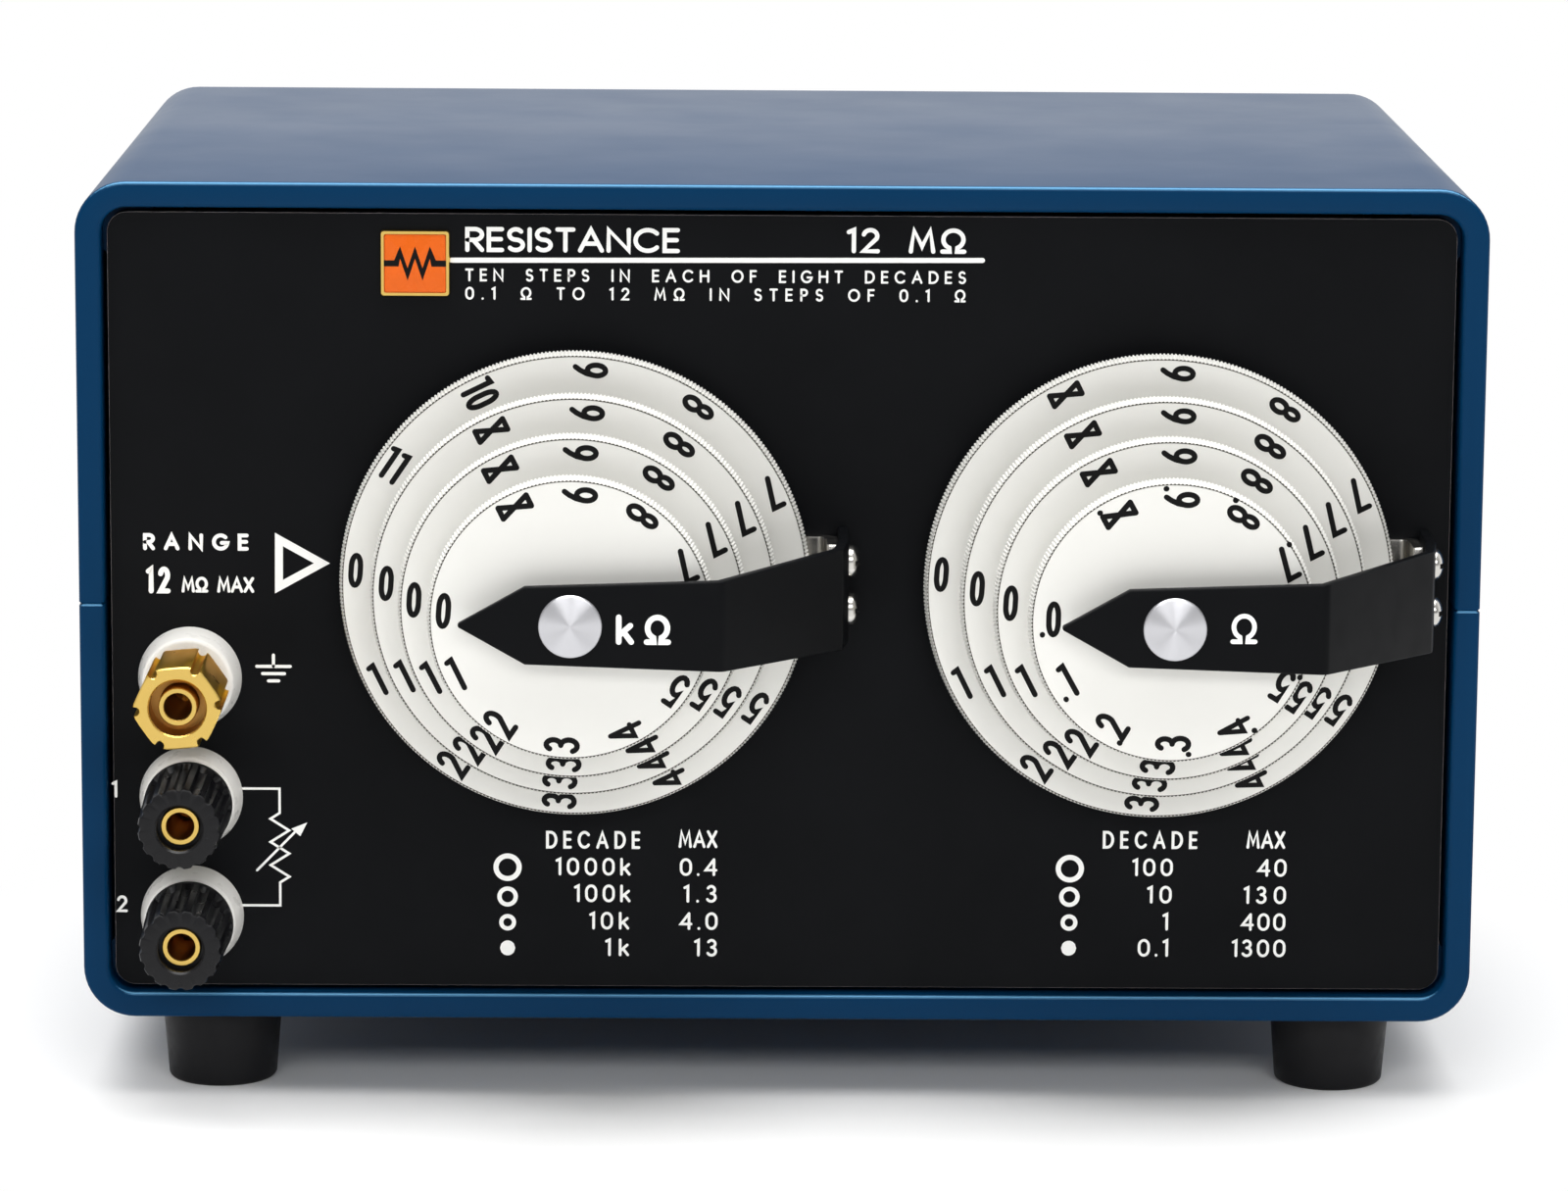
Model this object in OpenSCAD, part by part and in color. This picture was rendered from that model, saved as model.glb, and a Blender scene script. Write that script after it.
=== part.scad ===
// Bench decade resistor: two stacks of four numbered dials on a black panel,
// in a blue case of two half shells.
// Millimetres. X runs to the right, Y to the back and Z up.
// The origin is on the floor, under the middle of the whole object.

/* [Case] */
// Width of the case
case_w = 218; // [200:1:240]
// Height of the case without its feet
case_h = 132; // [128:1:160]
// Depth of the case from front rim to rear rim
case_d = 142; // [138:1:180]
// Thickness of the case wall, which shows as the front rim
wall = 4; // [3:0.1:5]
// Outer corner radius of the case
corner_r = 8; // [6:0.5:10]
// Radius of the corner bosses that the tie rods pass through
boss_r = 5; // [4.5:0.1:5.5]

/* [Panels] */
// How far the front panel lies behind the front rim
panel_recess = 2; // [1:0.1:3]
// How far the rear panel lies inside the rear rim
rear_recess = 4; // [3.5:0.1:6]
// Gap between a panel's edge and the case
panel_gap = 0.9; // [0.4:0.1:1.2]
// Thickness of both panels
panel_t = 3.2; // [2.8:0.1:4]
// Width of the badge plate
badge_w = 10.7; // [8:0.1:13]
// Height of the badge plate
badge_h = 10.2; // [8:0.1:13]
// Thickness of the badge plate
badge_t = 0.8; // [0.4:0.1:1.5]
// Middle of the badge plate, to the left of the case's middle
badge_x = 56.7; // [50:0.1:65]
// Middle of the badge plate below the top of the case
badge_drop = 12.6; // [11:0.1:15]

/* [Fasteners] */
// Diameter of the four tie rods
tie_d = 5; // [4.5:0.1:5.5]
// Diameter of the rear screws' shanks
rear_screw_d = 3; // [2.5:0.1:3.5]
// Diameter of the rear screws' heads
rear_head_d = 6; // [5.5:0.1:6.2]
// Height of the rear screws' heads
rear_head_h = 2.2; // [1.5:0.1:3]
// Diameter of the foot screws' shanks
foot_screw_d = 4; // [3:0.1:5]
// Diameter of the foot screws' heads
foot_head_d = 8; // [7:0.1:9]
// Height of the foot screws' heads
foot_head_h = 3; // [2:0.1:3.5]

/* [Feet] */
// Diameter of a foot under the case
foot_top_d = 19.05; // [17:0.05:22]
// Diameter of a foot on the floor
foot_low_d = 17.1; // [15:0.1:19]
// Height of the feet
foot_h = 12.7; // [10:0.1:18]
// Distance from a side of the case to the middle of a foot
foot_side = 20.7; // [19:0.1:24]
// Distance from a rim to the middle of a foot
foot_inset = 13.8; // [12:0.1:20]
// Height of the screw's seat inside the foot
foot_seat = 5; // [4.5:0.1:7]

/* [Dials] */
// Distance from the right side of the case to the outer face of the right strap's foot
strap_margin = 8.1; // [6.8:0.1:10]
// Share of the panel's free width that lies between the left strap and the right dial
dial_gap_share = 0.431; // [0.3:0.001:0.6]
// Height of the dial axes above the underside of the case
dial_z = 70.1; // [64:0.1:76]
// Diameter of the largest dial, next to the panel
dial_1_d = 73; // [66:0.1:82]
// Diameter of the second dial
dial_2_d = 62.6; // [60:0.1:65]
// Diameter of the third dial
dial_3_d = 53.2; // [50:0.1:56]
// Diameter of the smallest dial, in front
dial_4_d = 43.5; // [40:0.1:45]
// Thickness of a dial
dial_t = 3; // [2.5:0.1:3.5]
// Distance from one dial's face to the next
dial_pitch = 9.35; // [8.5:0.05:10]
// Gap between the panel and the largest dial
dial_clear = 4; // [3.6:0.1:5]
// Chamfer around a dial's face
dial_chamfer = 0.5; // [0.2:0.1:1]
// Length of the hub behind a dial
dial_hub_l = 2; // [1:0.1:2]
// Wall of a dial's hub around its shaft
dial_hub_wall = 4; // [2:0.1:5]

/* [Shafts] */
// Diameter of the innermost shaft
rod_d = 4; // [3.5:0.1:4.5]
// Wall of the tubular shafts
tube_wall = 0.95; // [0.8:0.05:1.1]
// Running clearance on the radius between shafts
run_clear = 0.05; // [0.03:0.01:0.08]
// Clearance on the radius where a piece is fixed on a shaft or stud
fix_clear = 0.02; // [0.01:0.01:0.03]
// How far a tubular shaft stands out of its dial's face
shaft_proud = 0.8; // [0.4:0.1:1.2]
// Wall of the panel bushing
bushing_wall = 1; // [0.8:0.1:1.5]
// Thickness of the bushing's flange
bushing_flange_t = 1.4; // [1:0.1:1.5]
// Width of the bushing's flange around its body
bushing_lip = 2; // [1.5:0.1:3]
// Thickness of the bushing's nut
bushing_nut_t = 4; // [3:0.1:5]
// How far the bushing reaches behind the panel
bushing_l = 8; // [6:0.1:9]

/* [Cursor straps] */
// Thickness of the strap's metal
strap_t = 1.6; // [1.2:0.1:2]
// Front face of the strap ahead of the smallest dial's face
strap_ahead = 4.9; // [4.6:0.1:6]
// Tip of the strap to the left of the dial axis
strap_tip = 16.8; // [14:0.1:19]
// Length of the pointed end
strap_point = 10; // [8:0.1:12]
// Width of the strap behind its point
strap_w = 11.8; // [10:0.1:13]
// Width of the strap where it stands on the panel
strap_foot_w = 17; // [15:0.1:19]
// Front bend to the right of the dial axis
strap_bend = 22.8; // [21:0.1:25]
// Outer face of the strap's foot beyond the edge of the largest dial
strap_side = 5.8; // [4.9:0.1:7]
// Depth of the strap's foot ahead of the panel, up to its rear bend
strap_foot_l = 17; // [14:0.1:19]
// How far the strap's foot spreads outwards behind its rear bend
strap_splay = 1; // [0.5:0.1:1.5]
// Length of the strap's foot that lies flat on the bracket
strap_seat_l = 9.8; // [9.2:0.1:12]
// Gap between the strap's end and the panel
strap_gap = 0.3; // [0.2:0.1:0.6]
// Thickness of the plated bracket
bracket_t = 1.8; // [1.4:0.1:2]
// Height of the plated bracket
bracket_h = 14.2; // [12:0.1:15]
// Length of the bracket's foot along the panel
bracket_foot_l = 12; // [10:0.1:14]
// Length of the bracket's upright along the strap
bracket_up_l = 9; // [7.5:0.1:12]
// Inner bend radius of the bracket
bracket_bend_r = 1.5; // [0.8:0.1:1.6]
// Distance between the two screws of a strap
strap_screw_gap = 7.5; // [6.5:0.1:8]
// Distance of the strap screws from the panel
strap_screw_y = 4.4; // [4:0.1:5]
// Diameter of the strap screws' round heads
strap_head_d = 5; // [4.4:0.1:5.6]
// Height of the strap screws' round heads
strap_head_h = 1.9; // [1.4:0.1:2.3]
// Height of the straight side of the strap screws' heads
strap_head_side = 0.7; // [0.4:0.1:1]
// Diameter of the small screws' heads
small_head_d = 4.65; // [4:0.05:5]
// Height of the small screws' heads
small_head_h = 1.4; // [1:0.1:2]
// Diameter of the small screws' shanks
small_screw_d = 2.6; // [2:0.1:3]
// Diameter of the bearing button's face
button_d = 9.5; // [8.5:0.1:10.5]
// How far the button's face stands out of the strap
button_proud = 0.6; // [0.4:0.1:1]
// Diameter of the button's body behind its face
button_body_d = 7; // [6.5:0.1:8]
// How far the button reaches behind the strap
button_back = 2; // [1:0.1:2.2]
// Wall at the bottom of the button's bearing hole
button_floor = 1; // [0.6:0.1:1.4]

/* [Binding posts] */
// Middle of the posts from the left side of the case
post_inset = 17; // [16:0.1:20]
// Height of the lowest post above the underside of the case
post_low_z = 16; // [15.5:0.1:18]
// Distance between posts
post_pitch = 19.05; // [18:0.05:20]
// Diameter of a stud
stud_d = 6; // [5.6:0.1:6.4]
// Diameter of a stud's socket bore
socket_d = 4.2; // [4:0.1:4.4]
// Depth of the socket bore
socket_l = 16; // [14:0.1:17]
// Diameter of the wire hole across a stud
wire_hole_d = 2; // [1.5:0.1:2.5]
// Front end of the two terminal studs ahead of the panel
stud_reach = 21.3; // [20:0.1:22]
// How much further the ground stud reaches
ground_extra = 2; // [0:0.1:3]
// Diameter of an insulating base on the panel
base_d = 16.3; // [14:0.1:17]
// Diameter of an insulating base at its front
base_front_d = 14; // [12:0.1:15]
// Thickness of an insulating base
base_t = 5; // [4:0.1:6]
// Diameter of the insulators' spigot in the panel
spigot_d = 8.8; // [8:0.1:9.5]
// Length of each spigot
spigot_l = 1.4; // [1:0.1:1.4]
// Diameter of the rear insulating washer
rear_washer_d = 12; // [11:0.1:12.4]
// Thickness of the rear insulating washer
rear_washer_t = 2.5; // [2:0.1:3.5]
// Thickness of a solder lug
lug_t = 0.8; // [0.5:0.1:1.2]
// Reach of a lug's tag from the post
lug_reach = 13; // [11:0.1:15]
// Width across the flats of a stud nut
nut_af = 10; // [9:0.1:10.4]
// Thickness of a stud nut
nut_t = 4; // [3:0.1:5]
// Diameter of a loose clamp washer
clamp_d = 11; // [10:0.1:12]
// Thickness of a loose clamp washer
clamp_t = 0.7; // [0.5:0.1:1]
// Play between base, clamp washer and cap
clamp_play = 0.1; // [0.05:0.01:0.2]
// Length of a terminal cap
cap_l = 17.6; // [16.5:0.1:18.5]
// Diameter of a terminal cap at its back
cap_back_d = 13.8; // [13:0.1:14.4]
// Diameter of a terminal cap at its front
cap_front_d = 12.7; // [12:0.1:13]
// Diameter of the recess in a terminal cap's front
cap_hole_d = 7; // [6.8:0.1:8]
// Depth of the recess in a terminal cap's front
cap_hole_l = 3; // [2.5:0.1:4]
// Diameter of the flutes around a terminal cap
flute_d = 1.5; // [1:0.1:1.8]
// Length of the ground cap
ground_cap_l = 15.5; // [14:0.1:16.5]
// Width across the flats of the ground cap
ground_af = 12.6; // [11.5:0.1:13]
// Width of the slots in the ground cap's corners
ground_slot_w = 2; // [1.5:0.1:2.5]
// Diameter that the bottoms of the corner slots lie on
ground_slot_d = 11.9; // [11:0.1:12.4]
// Diameter of the recess in the ground cap's front
ground_hole_d = 8.7; // [8:0.1:9.5]
// How far the ground cap stands unscrewed
ground_open = 3; // [2:0.1:3.5]

/* [Switch decks] */
// Distance from the back of the panel to the first wafer
deck_first = 24; // [22:0.1:26]
// Distance from one wafer to the next
deck_pitch = 26; // [24:0.1:26.5]
// Diameter of a wafer
wafer_d = 56; // [54:0.5:57]
// Thickness of a wafer
wafer_t = 1.6; // [1.2:0.1:2]
// Gap on the radius between a wafer and the shafts
wafer_clear = 1; // [0.5:0.1:2]
// Distance of the switch rods from the dial axis
switch_rod_r = 31; // [30.5:0.1:32]
// Diameter of the switch rods
switch_rod_d = 4; // [3.5:0.1:4.4]
// Diameter of the switch rods' flat heads
switch_head_d = 6; // [5.5:0.1:6.5]
// Thickness of the switch rods' flat heads
switch_head_t = 1.2; // [0.8:0.1:2]
// Diameter of the spacers on the switch rods
spacer_d = 7; // [6.5:0.1:7.5]
// Width across the flats of the rod nuts
rod_nut_af = 7; // [6:0.1:8]
// Thickness of the rod nuts
rod_nut_t = 3.2; // [2.5:0.1:4]
// Radius of the ring of contacts
contact_r = 24; // [23:0.1:24.5]
// Diameter of a contact's head
contact_head_d = 3; // [2.6:0.1:3.4]
// Height of a contact's head
contact_head_h = 1; // [0.6:0.1:1.4]
// Diameter of a contact's tail
contact_tail_d = 2.4; // [2:0.1:2.6]
// Length of a contact's tail behind the wafer
contact_tail_l = 4; // [3.5:0.1:5]
// Gap between the wiper and the contacts
wiper_gap = 0.3; // [0.2:0.05:0.5]
// Thickness of the wiper
wiper_t = 1; // [0.6:0.1:1.2]
// Width of the wiper
wiper_w = 4; // [3:0.1:5]
// Wall of a rotor's hub around its shaft
rotor_hub_wall = 2.6; // [1.5:0.1:2.8]
// Diameter of the detent wheel
detent_d = 26; // [23:0.1:28]
// Thickness of the detent wheel
detent_t = 3; // [2:0.1:3.4]
// Diameter of the notches around the detent wheel
detent_notch_d = 3; // [2:0.1:4]
// Distance from the wafer to the middle of the detent wheel
detent_ahead = 5.5; // [5:0.1:6.5]
// Length of a rotor's hub ahead of the wafer
rotor_hub_l = 9; // [8.5:0.1:10]
// Thickness of a detent spring
spring_t = 1; // [0.6:0.1:1.4]
// Width of a detent spring
spring_w = 5; // [4:0.1:6]
// Gap between a detent spring's nose and the wheel
detent_gap = 0.35; // [0.3:0.05:0.6]
// Diameter of a resistor's body
resistor_d = 3.6; // [3:0.1:4]
// Length of a resistor's body
resistor_l = 7; // [6:0.1:8]
// Diameter of a resistor's lead
resistor_lead_d = 0.8; // [0.6:0.1:1]
// Diameter of the hook-up leads
lead_d = 1.6; // [1.2:0.1:2]

/* [Hidden] */
$fn = 64;
SIDES = ["left", "right"];
POSTS = ["ground", "terminal_1", "terminal_2"];
DECKS = [1, 2, 3, 4];

// Steps in a full turn of a dial, and the most contacts that a deck has
dial_steps = 12;
step_angle = 360 / dial_steps;
flutes = 16;
ground_corners = 6;
ground_cap_turn = 5;
// Overlap of cutting shapes past the faces that they cut
eps = 0.5;
// Clearance on the radius of holes that screws and rods pass through
hole_clear = 0.2;

// Depth of the tapped hole in a tie rod's rear end, and the room left ahead of the screw in it
tie_tap_l = 9;
tie_tap_room = 1;
// Chamfer around the bottom of a foot, and length of the foot screw's tip inside the case
foot_edge = 1;
foot_screw_tip = 1;
// Length of a stud behind its nut
stud_tail = 3;
// Rim of a solder lug around its nut, width of its tag and diameter of the tag's hole
lug_rim = 0.5;
tag_w = 4;
tag_hole_d = 2;
// Length of the plain collar behind a terminal cap's flutes, and depth of the recess in the ground cap
cap_collar_l = 1.5;
ground_recess_l = 4;
// Distance between the two screws of a bracket, and width of the slots in the strap screws
bracket_screw_gap = 8;
small_slot_w = 0.7;
// Rim of a wafer's ears around the spacers, and length of the switch rods behind their nuts
ear_rim = 1;
rod_tail = 2;
// Radius of a detent spring's nose, and rim of its eye beyond the leaf's width
nose_r = 1.4;
eye_rim = 1;
// Drop of the hook-up lead below the switch rods
lead_drop = 11;

// Places along Y, counted from the front rim towards the back
panel_back = panel_recess + panel_t;
rear_front = case_d - rear_recess - panel_t;
dial_ds = [dial_1_d, dial_2_d, dial_3_d, dial_4_d];
last_deck = len(DECKS);
function dial_face(k) = panel_recess - dial_clear - dial_t - (k - 1) * dial_pitch;
strap_front = dial_face(last_deck) - strap_ahead;
function wafer_front(k) = panel_back + deck_first + (k - 1) * deck_pitch;

// The whole object reaches from the buttons' faces to the rear rim, and its middle is at Y = 0
reach = button_proud - strap_front;
rim_y = (reach - case_d) / 2;

function shaft_od(k) = rod_d + 2 * (last_deck - k) * (tube_wall + run_clear);
function shaft_back(k) = wafer_front(k) - contact_head_h - wiper_gap;
bushing_bore = shaft_od(1) + 2 * run_clear;
bushing_d = bushing_bore + 2 * bushing_wall;

post_x = post_inset - case_w / 2;
// The right stack is placed from the right side of the case, and the left one in the width left free
strap_reach = dial_1_d / 2 + strap_side;
right_dial_x = case_w / 2 - strap_margin - strap_reach;
right_dial_edge = right_dial_x - dial_1_d / 2;
free_w = right_dial_edge - post_x - base_d / 2 - dial_1_d / 2 - strap_reach;
left_dial_x = right_dial_edge - dial_gap_share * free_w - strap_reach;
dial_xs = [left_dial_x, right_dial_x];
post_zs = [post_low_z + 2 * post_pitch, post_low_z + post_pitch, post_low_z];
base_front = panel_recess - base_t;
lug_front = panel_back + rear_washer_t;
nut_front = lug_front + lug_t;
post_opens = [ground_open, 0, 0];
function clamp_back(i) = base_front - clamp_play - post_opens[i];
function cap_back(i) = clamp_back(i) - clamp_t - clamp_play;
stud_fit_d = stud_d + 2 * run_clear;

function contacts(side, k) = (side == 0 && k == 1) ? dial_steps : dial_steps - 1;
function contact_angle(n) = 180 - n * step_angle;
contact_chord = 2 * contact_r * sin(step_angle / 2);
spring_front = detent_ahead + spring_t / 2;

// Places a piece by its distances from the case's middle, front rim and underside
module from_case(x, y, z) translate([x, rim_y + y, foot_h + z]) children();

// Places a piece on the axis of one dial stack
module on_axis(side, y) from_case(dial_xs[side], y, dial_z) children();

// Places a piece on the axis of one post, 0 being the ground post
module on_post(i, y) from_case(post_x, y, post_zs[i]) children();

// Extrudes an outline drawn as seen from the front, from Y = 0 backwards
module slab(depth) translate([0, depth, 0]) rotate([90, 0, 0]) linear_extrude(depth) children();

// Round bar, cone and tube from Y = 0 backwards
module bar(d, length) rotate([-90, 0, 0]) cylinder(d = d, h = length);
module cone(front_d, back_d, length) rotate([-90, 0, 0]) cylinder(d1 = front_d, d2 = back_d, h = length);
module bore(d, length) translate([0, -eps, 0]) bar(d, length + 2 * eps);
module tube(od, id, length) difference() {
    bar(od, length);
    bore(id, length);
}
module hex_nut(af, id, length) difference() {
    rotate([-90, 0, 0]) cylinder(d = af / cos(30), h = length, $fn = 6);
    bore(id, length);
}

// Turns children about the Y axis, anticlockwise as seen from the front
module spin(angle) rotate([0, -angle, 0]) children();

module round_rect(w, h, r) {
    square([w - 2 * r, h], center = true);
    square([w, h - 2 * r], center = true);
    for (x = [-1, 1], z = [-1, 1]) translate([x * (w / 2 - r), z * (h / 2 - r)]) circle(r);
}

// Corner positions of the bosses and tie rods, on the case's corner centres
module at_corners(rows) {
    for (x = [-1, 1], z = rows)
        translate([x * (case_w / 2 - corner_r), z * (case_h / 2 - corner_r)]) children();
}

module at_feet() {
    for (x = [-1, 1], y = [foot_inset, case_d - foot_inset])
        translate([x * (case_w / 2 - foot_side), rim_y + y, 0]) children();
}

// One U-shaped half of the case: row 1 is the upper half and row -1 the lower one
module half_shell(row) {
    from_case(0, 0, case_h / 2) {
        slab(case_d) intersection() {
            difference() {
                round_rect(case_w, case_h, corner_r);
                round_rect(case_w - 2 * wall, case_h - 2 * wall, corner_r - wall);
            }
            translate([-case_w, row > 0 ? 0 : -case_h]) square([2 * case_w, case_h]);
        }
        translate([0, panel_back, 0]) slab(rear_front - panel_back) at_corners([row]) difference() {
            circle(boss_r);
            circle(tie_d / 2 + hole_clear);
        }
    }
}

module upper_shell() color("#173f63") half_shell(1);

module lower_shell() color("#173f63") difference() {
    half_shell(-1);
    at_feet() translate([0, 0, foot_h - eps]) cylinder(d = foot_screw_d + 2 * fix_clear, h = wall + 2 * eps);
}

module panel_outline() {
    inset = 2 * (wall + panel_gap);
    round_rect(case_w - inset, case_h - inset, corner_r - wall - panel_gap);
}

module front_panel() color("#15161a") difference() {
    from_case(0, panel_recess, case_h / 2) slab(panel_t) panel_outline();
    from_case(0, panel_back - panel_t / 2, case_h / 2)
        slab(panel_t) at_corners([-1, 1]) circle(tie_d / 2 + fix_clear);
    for (i = [0:2]) on_post(i, panel_recess) bore(spigot_d + 2 * fix_clear, panel_t);
    for (s = [0, 1]) {
        on_axis(s, panel_recess) bore(bushing_d + 2 * fix_clear, panel_t);
        on_axis(s, panel_recess) at_switch_rods() bore(switch_rod_d + 2 * hole_clear, panel_t);
        at_bracket_screws(s) bore(small_screw_d + 2 * hole_clear, panel_t);
    }
}

module rear_panel() color("#15161a") difference() {
    from_case(0, rear_front, case_h / 2) slab(panel_t) panel_outline();
    from_case(0, rear_front - eps, case_h / 2)
        slab(panel_t + 2 * eps) at_corners([-1, 1]) circle(rear_screw_d / 2 + hole_clear);
}

tie_l = rear_front - panel_back + panel_t / 2;

module tie_rods() color("#b9bcc0") from_case(0, panel_back - panel_t / 2, case_h / 2) difference() {
    slab(tie_l) at_corners([-1, 1]) circle(tie_d / 2);
    translate([0, tie_l - tie_tap_l, 0])
        slab(tie_tap_l + eps) at_corners([-1, 1]) circle(rear_screw_d / 2 + fix_clear);
}

module rear_screws() color("#b9bcc0") from_case(0, 0, case_h / 2) {
    shank_l = tie_tap_l - tie_tap_room;
    translate([0, rear_front - shank_l, 0])
        slab(shank_l + panel_t) at_corners([-1, 1]) circle(rear_screw_d / 2);
    translate([0, rear_front + panel_t, 0]) difference() {
        slab(rear_head_h) at_corners([-1, 1]) circle(rear_head_d / 2);
        translate([0, rear_head_h / 2, 0])
            slab(rear_head_h) at_corners([-1, 1]) square([rear_head_d, rear_head_h / 2], center = true);
    }
}

module rubber_feet() color("#17171a") at_feet() difference() {
    union() {
        cylinder(d1 = foot_low_d - 2 * foot_edge, d2 = foot_low_d, h = foot_edge);
        translate([0, 0, foot_edge]) cylinder(d1 = foot_low_d, d2 = foot_top_d, h = foot_h - foot_edge);
    }
    translate([0, 0, -eps]) cylinder(d = foot_screw_d + 2 * hole_clear, h = foot_h + 2 * eps);
    translate([0, 0, -eps]) cylinder(d = foot_head_d + 2 * hole_clear, h = foot_seat + eps);
}

module foot_screws() color("#8b8e92") at_feet() {
    shank_l = foot_h - foot_seat + wall + foot_screw_tip;
    translate([0, 0, foot_seat - foot_head_h]) cylinder(d = foot_head_d, h = foot_head_h);
    translate([0, 0, foot_seat - eps]) cylinder(d = foot_screw_d, h = shank_l + eps);
}

module badge_plate() color("#d9772b")
    from_case(-badge_x, panel_recess - badge_t, case_h - badge_drop)
        slab(badge_t) square([badge_w, badge_h], center = true);

// Front bases and rear washers: both have a spigot in the panel's hole
module post_insulators() color("#f2f2ee") for (i = [0:2]) {
    on_post(i, base_front) difference() {
        union() {
            cone(base_front_d, base_d, base_t);
            bar(spigot_d, base_t + spigot_l);
        }
        bore(stud_d + 2 * fix_clear, base_t + spigot_l);
    }
    on_post(i, panel_back - spigot_l) difference() {
        union() {
            bar(spigot_d, spigot_l);
            translate([0, spigot_l, 0]) bar(rear_washer_d, rear_washer_t);
        }
        bore(stud_d + 2 * fix_clear, spigot_l + rear_washer_t);
    }
}

// Threaded stud with a socket bore in its front end and a wire hole ahead of the base
module stud(i, reach_ahead) on_post(i, panel_recess - reach_ahead) difference() {
    length = reach_ahead + panel_t + rear_washer_t + lug_t + nut_t + stud_tail;
    bar(stud_d, length);
    translate([0, -eps, 0]) bar(socket_d, socket_l + eps);
    translate([0, reach_ahead - base_t - wire_hole_d, -stud_d]) cylinder(d = wire_hole_d, h = 2 * stud_d);
}

module ground_stud() color("#d9a233") stud(0, stud_reach + ground_extra);

module terminal_studs() color("#d9a233") for (i = [1, 2]) stud(i, stud_reach);

module post_nuts() color("#c9a04a") for (i = [0:2])
    on_post(i, nut_front) hex_nut(nut_af, stud_d + 2 * fix_clear, nut_t);

module solder_lugs() color("#c8cacc") for (i = [0:2]) on_post(i, lug_front) difference() {
    slab(lug_t) {
        circle(d = nut_af + 2 * lug_rim);
        translate([0, -tag_w / 2]) square([lug_reach, tag_w]);
    }
    bore(stud_d + 2 * fix_clear, lug_t);
    translate([lug_reach - tag_w / 2, 0, 0]) bore(tag_hole_d, lug_t);
}

// Loose washer that moves out with its cap
module clamp_washer(i) color("#d9a233") on_post(i, clamp_back(i) - clamp_t)
    tube(clamp_d, stud_fit_d, clamp_t);

module fluted_cap(i) color("#1a1a1c") on_post(i, cap_back(i) - cap_l) difference() {
    cone(cap_front_d, cap_back_d, cap_l);
    bore(stud_fit_d, cap_l);
    translate([0, -eps, 0]) bar(cap_hole_d, cap_hole_l + eps);
    for (n = [0:flutes - 1]) spin(n * 360 / flutes)
        translate([(cap_front_d + flute_d / 2) / 2, -eps, 0]) bar(flute_d, cap_l - cap_collar_l + eps);
}

module ground_cap() color("#d9a233")
    on_post(0, cap_back(0) - ground_cap_l) spin(ground_cap_turn) difference() {
        hex_nut(ground_af, stud_fit_d, ground_cap_l);
        translate([0, -eps, 0]) bar(ground_hole_d, ground_recess_l + eps);
        for (n = [0:ground_corners - 1]) spin(n * 360 / ground_corners)
            translate([ground_slot_d / 2, -eps, -ground_slot_w / 2])
                cube([ground_slot_d, ground_cap_l + 2 * eps, ground_slot_w]);
    }

module panel_bushings() color("#b9a36a") for (s = [0, 1])
    on_axis(s, panel_recess - bushing_flange_t) difference() {
        union() {
            bar(bushing_d + 2 * bushing_lip, bushing_flange_t);
            bar(bushing_d, bushing_flange_t + panel_t + bushing_l);
        }
        bore(bushing_bore, bushing_flange_t + panel_t + bushing_l);
    }

module bushing_nuts() color("#b9a36a") for (s = [0, 1])
    on_axis(s, panel_back) hex_nut(bushing_d + 2 * bushing_lip, bushing_d + 2 * fix_clear, bushing_nut_t);

// A dial with its hub behind it; dial 1 is next to the panel
module dial(side, k) color("#e8e8e4") on_axis(side, dial_face(k)) difference() {
    d = dial_ds[k - 1];
    union() {
        cone(d - 2 * dial_chamfer, d, dial_chamfer);
        translate([0, dial_chamfer, 0]) bar(d, dial_t - dial_chamfer);
        bar(shaft_od(k) + 2 * dial_hub_wall, dial_t + dial_hub_l);
    }
    bore(shaft_od(k) + 2 * fix_clear, dial_t + dial_hub_l);
}

// The innermost shaft runs on into its bearing button
rod_front = strap_front - button_proud + button_floor + run_clear;

module shaft(side, k) color("#b9bcc0") {
    front = k == last_deck ? rod_front : dial_face(k) - shaft_proud;
    on_axis(side, front) difference() {
        bar(shaft_od(k), shaft_back(k) - front);
        if (k < last_deck) bore(shaft_od(k) - 2 * tube_wall, shaft_back(k) - front);
    }
}

// Outer face of the strap in plan, from its tip to its foot on the panel
strap_leg_x = strap_reach - strap_splay;
strap_leg_y = panel_recess - strap_foot_l;
strap_path = [
    [-strap_tip, strap_front], [strap_bend, strap_front], [strap_leg_x, strap_leg_y],
    [strap_reach, panel_recess - strap_seat_l], [strap_reach, panel_recess - strap_gap]
];

// Direction across the metal, from the outer face of the n-th stretch to its inner face
function inward(n) =
    let (way = strap_path[n + 1] - strap_path[n])
    [-way[1], way[0]] / norm(way);

// Inner face opposite the n-th corner of the outer face
function inner_corner(n) =
    let (before = inward(max(n - 1, 0)), after = inward(min(n, len(strap_path) - 2)))
    strap_path[n] + strap_t * (before + after) / (1 + before * after);

module strap_plan() {
    last = len(strap_path) - 1;
    polygon(concat(strap_path, [for (n = [last:-1:0]) inner_corner(n)]));
}

// Length of the strap's metal from its pointed end to a place ahead of its foot's end
strap_leg_l = norm([strap_leg_x - strap_bend, strap_leg_y - strap_front]);
strap_flat_l = strap_bend + strap_tip - strap_point;
strap_taper = (strap_foot_w - strap_w) / (strap_flat_l + strap_leg_l + strap_foot_l);
strap_bend_w = strap_w + strap_taper * strap_flat_l;
strap_leg_w = strap_bend_w + strap_taper * strap_leg_l;

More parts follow.
